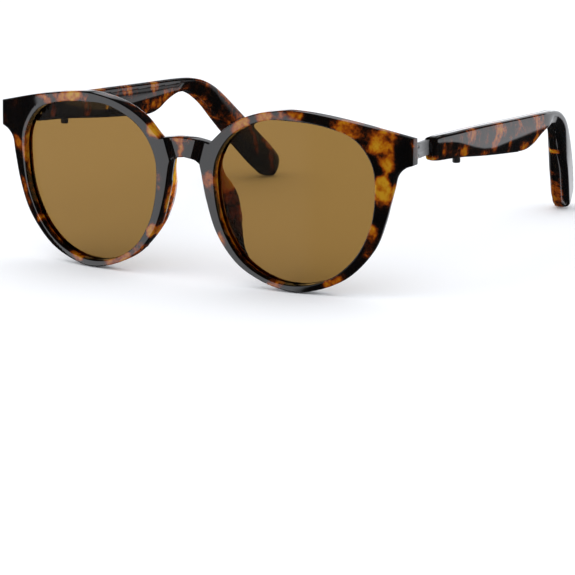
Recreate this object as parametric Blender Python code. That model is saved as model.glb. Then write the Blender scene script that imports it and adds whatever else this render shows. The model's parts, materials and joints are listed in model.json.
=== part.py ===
"""Smart audio glasses: a round tortoiseshell front with two tinted lenses, and two hollow temples that hold a
board, a speaker, a battery and a push button each.

Lengths are in millimetres and are turned into metres where a mesh is made. In the glasses' own frame +X points to
the wearer's left, +Y from the front to the ear tips and +Z up, with Y = 0 on the front face at the middle and Z = 0
level with the middle of the lenses. The whole assembly then leans by LEAN, so that the rims and both ear tips stand
on Z = 0 of the world.
"""

import math

import bmesh
import bpy
import numpy as np
from mathutils import Euler, Matrix, Vector
from mathutils.geometry import delaunay_2d_cdt

MM = 0.001
SIDES = {"left": 1, "right": -1}

# Stance: the lean of the whole assembly about X, and where the glasses' own origin lies in the world.
LEAN = math.radians(0.34)
ORIGIN = Vector((0.0, -73.5, 29.42))

# Front: a slab curved about Z, with its outline drawn for the wearer's left half.
BEND = 0.002793
RIM_DEPTH = 4.8
END_DEPTH = 5.3
END_START, END_FULL = 60.0, 68.0
RIM_CHAMFER = 0.5
BRIDGE_STEP = 0.45
BRIDGE_TOP = [(0, 14.1), (3.5, 14), (6.5, 13.5), (8.6, 13)]
BROW = [(8.6, 13), (14.5, 18.3), (21.1, 21.9), (29, 24), (38, 24.5), (54.8, 22), (71.6, 18.1)]
END_EDGE = [(71.6, 18.1), (71.6, 10.4)]
RIM_UNDER = [(71.6, 10.4), (68.6, 9.2), (66.5, 6.9), (65.7, 2.4), (63.6, -6.8), (59.7, -15.9), (51.4, -24.5),
             (41, -28.8), (33, -29.2), (24, -26.6), (16.6, -22), (10.6, -14.1), (7.3, -4.5), (5.6, 4), (5, 6.3)]
BRIDGE_ARCH = [(5, 6.3), (3.2, 7.6), (0, 8.15)]
# The outer wall around a lens: the direction from its middle in degrees, the depth to which the wall runs straight
# back, and how far in it has drawn by the back. Below the end piece the rim thins to a sharp outer edge.
OUTER_WALL = [(-180, 3.0, 1.0), (-120, 3.0, 0.9), (-90, 2.4, 1.0), (-60, 1.4, 1.2), (-30, 0.9, 2.0), (-5, 0.8, 2.5),
              (10, 2.8, 1.4), (18, 4.4, 0.5), (40, 3.4, 0.9), (70, 3.2, 1.0), (90, 2.4, 1.5), (115, 3.4, 0.8),
              (140, 3.6, 0.7), (152, 2.3, 1.4), (180, 2.3, 1.4)]
# Edges of the bridge's raised middle and of the slopes beside it, as X at the top and at the bottom.
BRIDGE_MIDDLE = ((4.3, 14), (2.4, 7.9))
BRIDGE_SLOPE = ((7.1, 13.4), (5.0, 6.4))

# Lenses: the opening in the rim, the groove behind its front wall, and the lens that sits in the groove.
LENS_OPENING = [(61, 2), (60, 10.5), (54.8, 17.4), (46, 20.5), (36, 21.5), (26.5, 21), (16.5, 16.2), (10.9, 8),
                (10.3, -1.5), (12.7, -12), (18.5, -20.9), (27.5, -26.2), (37.4, -27.3), (47.2, -24.3),
                (54.9, -17.5), (59.6, -8)]
LENS_MIDDLE_X = 37.4
GROOVE_FROM, GROOVE_TO, GROOVE_CUT = 2.3, 4.0, 1.1
LENS_FROM, LENS_TO, LENS_LAP = 2.5, 3.8, 0.8

# Nose pads: height against how far the pad stands back from the rim.
PAD_STATIONS = [(7, 0.5), (4.5, 1.2), (2, 2.8), (-1, 5.1), (-4, 6.4), (-7, 6.8), (-11, 6.0), (-15, 4.0), (-19, 1.7),
                (-21, 0.5)]
PAD_FLARE = 0.31
GAP = 0.3

# Temples: outline in Y and Z, from the block behind the hinge over the top to the tip and back underneath.
TEMPLE_FRONT_Y = 22.4
TEMPLE_TOP = [(22.4, 13), (22.7, 15.2), (25, 16.1), (40, 15.1), (59, 13.7), (83, 11.6), (102, 10), (112, 8.9),
              (118.5, 6.8), (124.6, 2.6), (133.6, -6.4), (142.4, -15.8), (147.6, -21.5)]
TEMPLE_TIP = [(149.2, -24.8), (147.9, -28.4), (144.9, -30.3)]
TEMPLE_UNDER = [(141.7, -28.2), (131.4, -16.5), (122.4, -6.7), (116.0, 0.2), (110.5, 4.0), (104.4, 4.9), (98.6, 3.5),
                (93.1, 1.3), (86.9, 0.5), (78, 1.45), (60, 3.9), (40, 7.0), (26, 8.7), (22.9, 9.6), (22.4, 11.2)]
TEMPLE_X = 70.05
TEMPLE_TAPER = 0.0154
TIP_CURVE_Y, TIP_CURVE_RATE, TIP_CURVE_REACH = 100.0, 0.58, 60.0
# The paddle behind the bend stands square to its own length: the share of the curve that it is turned by.
PADDLE_TURN, PADDLE_TURN_FROM, PADDLE_TURN_TO = 0.33, 108.0, 122.0
HALF_THICKNESS = [(22.4, 2.5), (60, 2.42), (104, 2.42), (112, 2.75), (122, 3.25), (132, 3.4), (150, 3.35)]
EDGE_ROUND = 0.5
COVER_THICKNESS = 1.1
SEAM = 0.25
WALL = 0.95

# Hinge: a barrel behind the end piece, three knuckles on a screw, and a bar that runs back into the temple.
PIVOT_X, PIVOT_Y, PIVOT_Z = 67.9, 15.6, 13.2
KNUCKLE_R, PIN_HOLE_R, PIN_R = 1.8, 0.8, 0.72
BARREL_HEIGHT, KNUCKLE_HEIGHT, KNUCKLE_GAP = 4.6, 1.8, 0.12
BAR_OUTER_X, BAR_THICK, BAR_HEIGHT, BAR_END_Y = 69.7, 1.6, 4.3, 25.6
LEAF_HEIGHT, LEAF_THICK, LEAF_OUTER_X, LEAF_END_Y = 3.0, 1.2, 70.6, 34.0
LEAF_SCREW_Y = (27.5, 31.5)

# Button under the temple: a round post with a flange inside the wall, and its travel up to the switch.
BUTTON_Y, BUTTON_R, BUTTON_BOTTOM = 40.3, 1.2, 5.4
FLANGE_LONG, FLANGE_WIDE, FLANGE_THICK, FLANGE_Z = 4.4, 2.3, 0.6, 8.5

# Electronics, as Y and Z of their middles where a single place is needed.
BOARD = [(35.5, 10.6), (45.5, 10.2), (46.5, 7.6), (77, 3.9), (77, 10.5), (35.5, 13.6)]
BOARD_FROM, BOARD_TO = 0.65, 1.25
CHIPS = {"bluetooth_chip": ((55, 9.4), (5, 5, 0.9)), "power_chip": ((64, 10.3), (2.6, 2.6, 0.8)),
         "antenna": ((71.5, 10.1), (7, 1.4, 0.8)), "microphone": ((49.5, 8.6), (3.4, 2.4, 1.0))}
CHARGE_PIN_Y, CHARGE_PIN_Z, CHARGE_PIN_R = {"front": 61.0, "rear": 67.0}, 7.2, 1.0
MAGNET_Y, MAGNET_Z, MAGNET_R = 72.5, 7.2, 1.7
SPEAKER_Y, SPEAKER_Z, SPEAKER_SIZE = 86.3, 6.4, (12.4, 5.6, 2.0)
GRILLE_Y, GRILLE_LONG, GRILLE_WIDE, GRILLE_Z, GRILLE_THICK = 86.8, 7.6, 1.6, 1.35, 0.4
GRILLE_HOLES = 5
BATTERY_Y, BATTERY_Z, BATTERY_R, BATTERY_LONG = 133.3, -11.8, 1.85, 21.0
PADDLE_SLOPE = -1.07
TEMPLE_SLOPE = math.radians(-5.0)
FLEX_PATH = [(94, 6.6), (99, 7.3), (105, 7.6), (111, 6.4), (116, 3.6), (120, 0.2)]


# Curves and loops ------------------------------------------------------------------------------------------------


def catmull_rom(points, closed, steps=12):
    """Dense points on the smooth curve through the given ones."""
    pts = [np.array(p, float) for p in points]
    if closed:
        pts = [pts[-1]] + pts + pts[:2]
    else:
        pts = [2 * pts[0] - pts[1]] + pts + [2 * pts[-1] - pts[-2]]
    curve = []
    for a, b, c, d in zip(pts, pts[1:], pts[2:], pts[3:]):
        for t in np.arange(steps) / steps:
            curve.append(0.5 * (2 * b + (c - a) * t + (2 * a - 5 * b + 4 * c - d) * t ** 2
                                + (3 * b - a - 3 * c + d) * t ** 3))
    if not closed:
        curve.append(pts[-2])
    return np.array(curve)


def even_steps(curve, spacing, closed):
    """The same curve with points at equal distances, about the given spacing apart."""
    if closed:
        curve = np.vstack([curve, curve[:1]])
    run = np.concatenate([[0], np.cumsum(np.linalg.norm(np.diff(curve, axis=0), axis=1))])
    count = max(2, round(run[-1] / spacing))
    wanted = np.linspace(0, run[-1], count + 1)
    out = np.column_stack([np.interp(wanted, run, curve[:, k]) for k in range(curve.shape[1])])
    return out[:-1] if closed else out


def smooth_loop(points, spacing):
    return even_steps(catmull_rom(points, True), spacing, True)


def loop_of_runs(runs, spacing):
    """A closed loop of smooth runs that meet at corners; each run starts where the last one ends."""
    parts = [even_steps(catmull_rom(run, False), spacing, False)[:-1] for run in runs]
    return np.vstack(parts)


def area(loop):
    x, y = loop[:, 0], loop[:, 1]
    return 0.5 * float(np.sum(x * np.roll(y, -1) - y * np.roll(x, -1)))


def inset(loop, distance):
    """The loop moved inwards by distance, a number or one per point; negative moves it outwards."""
    edge = np.roll(loop, -1, axis=0) - loop
    edge /= np.linalg.norm(edge, axis=1)[:, None]
    normal = np.column_stack([-edge[:, 1], edge[:, 0]]) * np.sign(area(loop))
    before = np.roll(normal, 1, axis=0)
    mitre = (normal + before) / (1 + np.sum(normal * before, axis=1))[:, None]
    return loop + mitre * np.reshape(distance, (-1, 1))


def inside(points, loop):
    """Which points lie inside the loop."""
    a, b = loop, np.roll(loop, -1, axis=0)
    x, y = points[:, :1], points[:, 1:2]
    crosses = (a[:, 1] > y) != (b[:, 1] > y)
    with np.errstate(divide="ignore", invalid="ignore"):
        left = x < (b[:, 0] - a[:, 0]) * (y - a[:, 1]) / (b[:, 1] - a[:, 1]) + a[:, 0]
    return np.sum(crosses & left, axis=1) % 2 == 1


def fill(outer, holes=(), spacing=None, lines=()):
    """Triangles of a flat region. Gives its points, those of the loops first, and the triangles between them."""
    loops = [outer, *holes]
    edges, start = [], 0
    for loop in loops:
        count = len(loop)
        edges += [(start + i, start + (i + 1) % count) for i in range(count)]
        start += count
    points = [tuple(p) for loop in loops for p in loop]
    for line in lines:
        edges.append((len(points), len(points) + 1))
        points += [tuple(p) for p in line]
    if spacing:
        low, high = outer.min(axis=0), outer.max(axis=0)
        grid = np.array([(x, y) for x in np.arange(low[0] + spacing / 2, high[0], spacing)
                         for y in np.arange(low[1] + spacing / 2, high[1], spacing)])
        keep = inside(grid, inset(outer, spacing * 0.4))
        for hole in holes:
            keep &= ~inside(grid, inset(hole, -spacing * 0.4))
        points += [tuple(p) for p in grid[keep]]
    made, _, faces, _, _, _ = delaunay_2d_cdt([Vector(p) for p in points], edges, [], 0, 1e-6)
    made = np.array([tuple(p) for p in made])
    middles = np.array([made[list(f)].mean(axis=0) for f in faces])
    keep = inside(middles, outer)
    for hole in holes:
        keep &= ~inside(middles, hole)
    return made, [f for f, k in zip(faces, keep) if k]


# Meshes and objects ----------------------------------------------------------------------------------------------


class Shape:
    """Points and faces of one piece, in millimetres, drawn for the wearer's left side."""

    def __init__(self):
        self.points, self.faces = [], []

    def ring(self, points):
        first = len(self.points)
        self.points += [tuple(p) for p in points]
        return list(range(first, len(self.points)))

    def bridge(self, a, b):
        count = len(a)
        for i in range(count):
            j = (i + 1) % count
            self.faces.append((a[i], a[j], b[j], b[i]))

    def stack(self, rings):
        made = [self.ring(r) for r in rings]
        for a, b in zip(made, made[1:]):
            self.bridge(a, b)
        return made

    def cap(self, rings, made, faces, lift):
        """Faces over a filled region, whose first points are those of the rings, in order."""
        index = [i for ring in rings for i in ring]
        index += self.ring([lift(p) for p in made[len(index):]])
        self.faces += [tuple(index[i] for i in f) for f in faces]


def box_shape(centre, size, turn=(0.0, 0.0, 0.0), chamfer=0.0):
    """A box of the given size in X, Y and Z, turned about its centre, with chamfered edges."""
    bm = bmesh.new()
    bmesh.ops.create_cube(bm, size=1.0, matrix=Matrix.Diagonal((*size, 1.0)))
    if chamfer:
        bmesh.ops.bevel(bm, geom=bm.edges[:], offset=chamfer, segments=1, affect="EDGES")
    bmesh.ops.transform(bm, matrix=Matrix.Translation(centre) @ Euler(turn).to_matrix().to_4x4(), verts=bm.verts)
    return from_bmesh(bm)


def cylinder_shape(centre, axis, radius, length, sides=20, chamfer=0.0):
    bm = bmesh.new()
    bmesh.ops.create_cone(bm, cap_ends=True, segments=sides, radius1=radius, radius2=radius, depth=length)
    if chamfer:
        rims = [e for e in bm.edges if abs(e.verts[0].co.z - e.verts[1].co.z) < 1e-6]
        bmesh.ops.bevel(bm, geom=rims, offset=chamfer, segments=1, affect="EDGES")
    turn = Vector((0, 0, 1)).rotation_difference(Vector(axis)).to_matrix().to_4x4()
    bmesh.ops.transform(bm, matrix=Matrix.Translation(centre) @ turn, verts=bm.verts)
    return from_bmesh(bm)


def from_bmesh(bm):
    shape = Shape()
    bm.verts.index_update()
    shape.points = [tuple(v.co) for v in bm.verts]
    shape.faces = [tuple(v.index for v in f.verts) for f in bm.faces]
    bm.free()
    return shape


def material(name, colour, roughness, metallic=0.0, alpha=1.0):
    found = bpy.data.materials.get(name)
    if found:
        return found
    made = bpy.data.materials.new(name)
    made.use_nodes = True
    shader = made.node_tree.nodes["Principled BSDF"]
    shader.inputs["Base Color"].default_value = (*colour, 1.0)
    shader.inputs["Roughness"].default_value = roughness
    shader.inputs["Metallic"].default_value = metallic
    shader.inputs["Alpha"].default_value = alpha
    return made


MATERIALS = {
    "tortoise": ((0.09, 0.03, 0.012), 0.12),
    "tortoise_inner": ((0.07, 0.025, 0.01), 0.16),
    "tint": ((0.30, 0.18, 0.06), 0.03, 0.0, 0.6),
    "hinge_metal": ((0.55, 0.57, 0.60), 0.3, 1.0),
    "black_plastic": ((0.012, 0.012, 0.014), 0.4),
    "board_green": ((0.02, 0.09, 0.04), 0.5),
    "chip_black": ((0.02, 0.02, 0.02), 0.5),
    "cell_wrap": ((0.25, 0.27, 0.30), 0.35),
    "speaker_black": ((0.03, 0.03, 0.03), 0.45),
    "gold": ((0.85, 0.62, 0.25), 0.2, 1.0),
    "magnet_nickel": ((0.6, 0.6, 0.62), 0.25, 1.0),
    "flex_amber": ((0.45, 0.2, 0.04), 0.4),
}


def add_empty(name, at, parent=None):
    empty = bpy.data.objects.new(name, None)
    bpy.context.scene.collection.objects.link(empty)
    empty.empty_display_size = 5 * MM
    empty["at"] = tuple(at)
    empty.parent = parent
    empty.location = (Vector(at) - Vector(parent["at"] if parent else (0, 0, 0))) * MM
    return empty


def add_piece(name, shape, look, parent, side=1, at=None, helper=False):
    """An object from a shape. side -1 mirrors it, and at is its own origin, given for the wearer's left."""
    home = Vector(parent["at"])
    own = Vector((side * at[0], at[1], at[2])) if at else home
    points = [(Vector((side * p[0], p[1], p[2])) - own) * MM for p in shape.points]
    mesh = bpy.data.meshes.new(name)
    mesh.from_pydata(points, [], shape.faces)
    bm = bmesh.new()
    bm.from_mesh(mesh)
    bmesh.ops.recalc_face_normals(bm, faces=bm.faces)
    bm.to_mesh(mesh)
    bm.free()
    mesh.shade_smooth()
    mesh.set_sharp_from_angle(angle=math.radians(35))
    piece = bpy.data.objects.new(name, mesh)
    bpy.context.scene.collection.objects.link(piece)
    piece.parent = parent
    piece.location = (own - home) * MM
    if helper:
        piece.hide_render = True
        piece.display_type = "WIRE"
    else:
        mesh.materials.append(material(look, *MATERIALS[look]))
    return piece


def combine(piece, name, shape, operation, side=1):
    """Joins a helper shape to a piece, or cuts it out."""
    helper = add_piece(f"{piece.name}_{name}", shape, None, piece.parent, side, helper=True)
    modifier = piece.modifiers.new(name, "BOOLEAN")
    modifier.operation = operation
    modifier.solver = "EXACT"
    modifier.object = helper


# Front -----------------------------------------------------------------------------------------------------------


def face_y(x):
    """The front face's setback at x."""
    return BEND * x * x / 2 * (1 + (BEND * x) ** 2 / 4)


def bridge_rise(x, z):
    """How far the front face stands forward on the bridge: all of the step in the middle, none past the slopes."""
    def edge_at(line):
        (top_x, top_z), (low_x, low_z) = line
        return low_x + (top_x - low_x) * (z - low_z) / (top_z - low_z)
    middle, outer = edge_at(BRIDGE_MIDDLE), edge_at(BRIDGE_SLOPE)
    share = np.clip((outer - abs(x)) / (outer - middle), 0, 1)
    return BRIDGE_STEP * share if z > 5 else 0.0


def depth_at(x):
    share = np.clip((abs(x) - END_START) / (END_FULL - END_START), 0, 1)
    return RIM_DEPTH + (END_DEPTH - RIM_DEPTH) * share * share * (3 - 2 * share)


def outer_wall(outline):
    """The wall's straight depth and its draw at each point of the outline."""
    turn = np.degrees(np.arctan2(outline[:, 1], abs(outline[:, 0]) - LENS_MIDDLE_X))
    angle, straight, drawn_in = zip(*OUTER_WALL)
    return np.interp(turn, angle, straight), np.interp(turn, angle, drawn_in)


def front_point(p, level):
    """A point of the front at a depth behind its face."""
    return (p[0], face_y(p[0]) + level, p[1])


def both_halves(half):
    """A loop through the left half's points and back through their mirror images."""
    mirrored = [(-x, z) for x, z in half[::-1]]
    return np.array(list(half) + [p for p in mirrored if abs(p[0]) > 1e-6])


def front_outline(spacing):
    half = loop_of_runs([BRIDGE_TOP, BROW, END_EDGE, RIM_UNDER, BRIDGE_ARCH], spacing)
    return both_halves(np.vstack([half, BRIDGE_ARCH[-1:]]))


def lens_opening(side, spacing):
    loop = smooth_loop(LENS_OPENING, spacing)
    return loop * (side, 1)


def front_frame_shape():
    shape = Shape()
    outer = front_outline(2.4)
    inner = [lens_opening(side, 3.2) for side in SIDES.values()]
    c = RIM_CHAMFER

    def front(p):
        return front_point(p, -bridge_rise(*p))

    def back(p):
        return front_point(p, depth_at(p[0]))

    wall, drawn_in = outer_wall(outer)
    back_edge = inset(outer, drawn_in)
    outer_rings = shape.stack([
        [front(p) for p in inset(outer, c)],
        [front_point(p, c - bridge_rise(*p)) for p in outer],
        [front_point(p, w) for p, w in zip(outer, wall)],
        [back(p) for p in back_edge]])
    inner_rings = []
    for loop in inner:
        levels = [(-c, None), (0, c), (0, GROOVE_FROM), (-GROOVE_CUT, GROOVE_FROM), (-GROOVE_CUT, GROOVE_TO),
                  (0, GROOVE_TO), (0, RIM_DEPTH - c * 0.5)]
        rings = [[front(p) if level is None else front_point(p, level) for p in inset(loop, move)]
                 for move, level in levels]
        rings.append([back(p) for p in inset(loop, -c * 0.5)])
        inner_rings.append(shape.stack(rings))
    lines = [[(s * x, z) for x, z in line] for s in (1, -1)
             for line in (shorten(BRIDGE_MIDDLE), shorten(BRIDGE_SLOPE))]
    made, faces = fill(inset(outer, c), [inset(loop, -c) for loop in inner], lines=lines)
    shape.cap([outer_rings[0]] + [r[0] for r in inner_rings], made, faces, front)
    made, faces = fill(back_edge, [inset(loop, -c * 0.5) for loop in inner])
    shape.cap([outer_rings[-1]] + [r[-1] for r in inner_rings], made, faces, back)
    return shape


def shorten(line, by=0.8):
    """The line without its ends, so that it stays inside the chamfered outline."""
    a, b = (np.array(p, float) for p in line)
    way = (b - a) / np.linalg.norm(b - a) * by
    return tuple(a + way), tuple(b - way)


def hinge_pocket_shape():
    """The recess in the end piece's back that holds the front leaf."""
    leaf = front_leaf_box()
    centre = (leaf[0][0], leaf[0][1] + 0.5, leaf[0][2])
    size = (leaf[1][0] + 2 * GAP, leaf[1][1] + 1.0 + 2 * GAP, leaf[1][2] + 2 * GAP)
    return box_shape(centre, size)


def front_leaf_box():
    """Centre and size of the leaf that is set into the end piece."""
    back = face_y(PIVOT_X) + END_DEPTH
    return (PIVOT_X - 1.0, back - 0.4, PIVOT_Z), (5.2, 1.4, BARREL_HEIGHT + 0.4)


def add_front(root):
    frame = add_piece("front_frame", front_frame_shape(), "tortoise", root)
    for side_name, side in SIDES.items():
        combine(frame, f"pocket_{side_name}", hinge_pocket_shape(), "DIFFERENCE", side)
        add_piece(f"lens_{side_name}", lens_shape(), "tint", root, side)
        add_piece(f"nose_pad_{side_name}", nose_pad_shape(), "tortoise_inner", root, side)
        add_front_hinge(root, side_name, side)


def lens_shape():
    shape = Shape()
    edge = inset(smooth_loop(LENS_OPENING, 3.6), -LENS_LAP)
    chamfer = 0.25
    rings = shape.stack([
        [front_point(p, LENS_FROM) for p in inset(edge, chamfer)],
        [front_point(p, LENS_FROM + chamfer) for p in edge],
        [front_point(p, LENS_TO - chamfer) for p in edge],
        [front_point(p, LENS_TO) for p in inset(edge, chamfer)]])
    for ring, level in ((rings[0], LENS_FROM), (rings[-1], LENS_TO)):
        made, faces = fill(inset(edge, chamfer), spacing=7.0)
        shape.cap([ring], made, faces, lambda p, level=level: front_point(p, level))
    return shape


def crossing_x(loop, z, low, high):
    """Where the loop crosses the height z between two values of X."""
    a, b = loop, np.roll(loop, -1, axis=0)
    found = [p[0] + (q[0] - p[0]) * (z - p[1]) / (q[1] - p[1])
             for p, q in zip(a, b) if (p[1] - z) * (q[1] - z) <= 0 and p[1] != q[1]]
    return min((x for x in found if low < x < high), default=low)


def nose_pad_shape():
    """A pad that grows out of the rim's back beside the nose and leans outwards as it stands back."""
    shape = Shape()
    nose_side = smooth_loop(RIM_UNDER[6:] + [(4.6, 12), (40, 12)], 0.5)
    lens_side = smooth_loop(LENS_OPENING, 0.5)
    rings = []
    for z, reach in PAD_STATIONS:
        near = crossing_x(nose_side, min(z, 6), 4.4, 30) + 0.7
        far = crossing_x(lens_side, z, 9, 30) - 0.7
        rest = face_y((near + far) / 2) + RIM_DEPTH + GAP
        lean = PAD_FLARE * reach
        section = [(near, 0), (near + 0.02 * reach, 0.35), (near + lean * 0.45, 0.72), (near + lean, 0.95),
                   ((near + far) / 2 + lean, 1), (far + lean, 0.95), (far + lean * 0.9, 0.72),
                   (far + lean * 0.5, 0.35), (far, 0)]
        rings.append([(x, rest + reach * share, z) for x, share in section])
    made = shape.stack(rings)
    shape.faces += [tuple(made[0]), tuple(made[-1])]
    return shape


def add_front_hinge(root, side_name, side):
    centre, size = front_leaf_box()
    hinge = add_piece(f"front_hinge_{side_name}", box_shape(centre, size, chamfer=0.2), "hinge_metal", root, side)
    cheek = (BARREL_HEIGHT - KNUCKLE_HEIGHT) / 2 - KNUCKLE_GAP
    for name, sign in (("upper", 1), ("lower", -1)):
        z = PIVOT_Z + sign * (BARREL_HEIGHT - cheek) / 2
        arm = box_shape((PIVOT_X, (centre[1] + PIVOT_Y) / 2, z), (2.4, PIVOT_Y - centre[1], cheek))
        combine(hinge, f"{name}_arm", arm, "UNION", side)
        knuckle = cylinder_shape((PIVOT_X, PIVOT_Y, z), (0, 0, 1), KNUCKLE_R, cheek)
        combine(hinge, f"{name}_knuckle", knuckle, "UNION", side)
    hole = cylinder_shape((PIVOT_X, PIVOT_Y, PIVOT_Z), (0, 0, 1), PIN_HOLE_R, BARREL_HEIGHT + 2)
    combine(hinge, "pin_hole", hole, "DIFFERENCE", side)
    add_piece(f"hinge_screw_{side_name}", hinge_screw_shape(), "hinge_metal", root, side)


def hinge_screw_shape():
    """A turned screw: a domed head above the barrel and a plain shank through it."""
    top = PIVOT_Z + BARREL_HEIGHT / 2
    profile = [(0.45, 0.75), (1.05, 0.6), (1.3, 0.35), (1.3, 0.1), (PIN_R, 0.1), (PIN_R, -BARREL_HEIGHT + 0.1),
               (PIN_R - 0.2, -BARREL_HEIGHT - 0.1)]
    shape = Shape()
    sides = 20
    rings = [[(PIVOT_X + r * math.cos(a), PIVOT_Y + r * math.sin(a), top + z)
              for a in (2 * math.pi * k / sides for k in range(sides))] for r, z in profile]
    made = shape.stack(rings)
    shape.faces += [tuple(made[0]), tuple(made[-1])]
    return shape


# Temples ---------------------------------------------------------------------------------------------------------


def temple_x(y):
    """The middle of the temple's thickness at y."""
    past = np.maximum(y - TIP_CURVE_Y, 0)
    return TEMPLE_X - TEMPLE_TAPER * (y - TEMPLE_FRONT_Y) - TIP_CURVE_RATE * past ** 2 / (past + TIP_CURVE_REACH)


def middle_x(y, z):
    """The middle of the thickness at a point of the outline, with the paddle turned outwards at its top."""
    past = np.maximum(y - TIP_CURVE_Y, 0)
    bend = TIP_CURVE_RATE * past * (past + 2 * TIP_CURVE_REACH) / (past + TIP_CURVE_REACH) ** 2
    share = np.clip((y - PADDLE_TURN_FROM) / (PADDLE_TURN_TO - PADDLE_TURN_FROM), 0, 1)
    above = z - BATTERY_Z - PADDLE_SLOPE * (y - BATTERY_Y)
    return temple_x(y) + PADDLE_TURN * bend * above * share * share * (3 - 2 * share)


def half_thickness(y):
    at, half = zip(*HALF_THICKNESS)
    return np.interp(y, at, half)


def temple_outline(spacing):
    return smooth_loop(TEMPLE_TOP + TEMPLE_TIP + TEMPLE_UNDER, spacing)


def temple_ring(loop, from_outer=None, from_inner=None):
    """The outline laid at a distance in from the temple's outer face or out from its inner face."""
    y, z = loop[:, 0], loop[:, 1]
    if from_outer is not None:
        x = middle_x(y, z) + half_thickness(y) - from_outer
    else:
        x = middle_x(y, z) - half_thickness(y) + from_inner
    return np.column_stack([x, y, z])


def temple_shell_shape():
    loop = temple_outline(3.4)
    r = EDGE_ROUND * half_thickness(loop[:, 0])
    rim = COVER_THICKNESS + SEAM
    hollow = inset(loop, WALL + 0.1)
    shape = Shape()
    rings = shape.stack([
        temple_ring(inset(loop, r), from_outer=0.0),
        temple_ring(inset(loop, 0.3 * r), from_outer=0.3 * r),
        temple_ring(loop, from_outer=r),
        temple_ring(loop, from_inner=rim),
        temple_ring(hollow, from_inner=rim),
        temple_ring(hollow, from_outer=WALL)])
    for ring, flat in ((rings[0], inset(loop, r)), (rings[-1], hollow)):
        made, faces = fill(flat)
        shape.cap([ring], made, faces, lambda p: (temple_x(p[0]), *p))
    return shape


def temple_cover_shape():
    loop = temple_outline(3.4)
    r = 0.9 * COVER_THICKNESS
    shape = Shape()
    rings = shape.stack([
        temple_ring(loop, from_inner=COVER_THICKNESS),
        temple_ring(loop, from_inner=r),
        temple_ring(inset(loop, 0.3 * r), from_inner=0.3 * r),
        temple_ring(inset(loop, r), from_inner=0.0)])
    for ring, flat in ((rings[0], loop), (rings[-1], inset(loop, r))):
        made, faces = fill(flat)
        shape.cap([ring], made, faces, lambda p: (temple_x(p[0]), *p))
    return shape


def bar_box(margin=0.0):
    centre = (BAR_OUTER_X - BAR_THICK / 2, (PIVOT_Y + BAR_END_Y) / 2, PIVOT_Z)
    return centre, (BAR_THICK + 2 * margin, BAR_END_Y - PIVOT_Y + 2 * margin, BAR_HEIGHT + 2 * margin)


def leaf_centre():
    return LEAF_OUTER_X - LEAF_THICK / 2, (BAR_END_Y + LEAF_END_Y) / 2 - 0.5, PIVOT_Z - 0.9


def add_temple_hinge(parent, side_name, side):
    at = (PIVOT_X, PIVOT_Y, PIVOT_Z)
    centre, size = bar_box()
    hinge = add_piece(f"temple_hinge_{side_name}", box_shape(centre, size, chamfer=0.15), "hinge_metal", parent,
                      side, at)
    knuckle = cylinder_shape(at, (0, 0, 1), KNUCKLE_R, KNUCKLE_HEIGHT)
    gap = (BARREL_HEIGHT - KNUCKLE_HEIGHT) / 2 + 0.4
    for name, sign in (("upper", 1), ("lower", -1)):
        z = PIVOT_Z + sign * (KNUCKLE_HEIGHT / 2 + gap / 2)
        relief = cylinder_shape((PIVOT_X, PIVOT_Y, z), (0, 0, 1), KNUCKLE_R + GAP, gap, sides=24)
        combine(hinge, f"{name}_relief", relief, "DIFFERENCE", side)
    combine(hinge, "knuckle", knuckle, "UNION", side)
    hole = cylinder_shape(at, (0, 0, 1), PIN_HOLE_R, BARREL_HEIGHT + 2)
    combine(hinge, "pin_hole", hole, "DIFFERENCE", side)
    leaf = box_shape(leaf_centre(), (LEAF_THICK, LEAF_END_Y - BAR_END_Y + 1.0, LEAF_HEIGHT))
    combine(hinge, "leaf", leaf, "UNION", side)
    for number, y in enumerate(LEAF_SCREW_Y, 1):
        hole = cylinder_shape((LEAF_OUTER_X, y, leaf_centre()[2]), (1, 0, 0), 0.6, 4, sides=12)
        combine(hinge, f"screw_hole_{number}", hole, "DIFFERENCE", side)
        add_piece(f"leaf_screw_{number}_{side_name}", leaf_screw_shape(y), "hinge_metal", parent, side)


def leaf_screw_shape(y):
    """A small pan-head screw from the leaf's inner face into the temple's wall."""
    inner = LEAF_OUTER_X - LEAF_THICK
    profile = [(0.3, -0.45), (0.8, -0.4), (0.9, -0.1), (0.5, -0.1), (0.5, LEAF_THICK + 0.75)]
    shape = Shape()
    sides = 12
    z = leaf_centre()[2]
    rings = [[(inner + d, y + r * math.cos(a), z + r * math.sin(a))
              for a in (2 * math.pi * k / sides for k in range(sides))] for r, d in profile]
    made = shape.stack(rings)
    shape.faces += [tuple(made[0]), tuple(made[-1])]
    return shape


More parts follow.
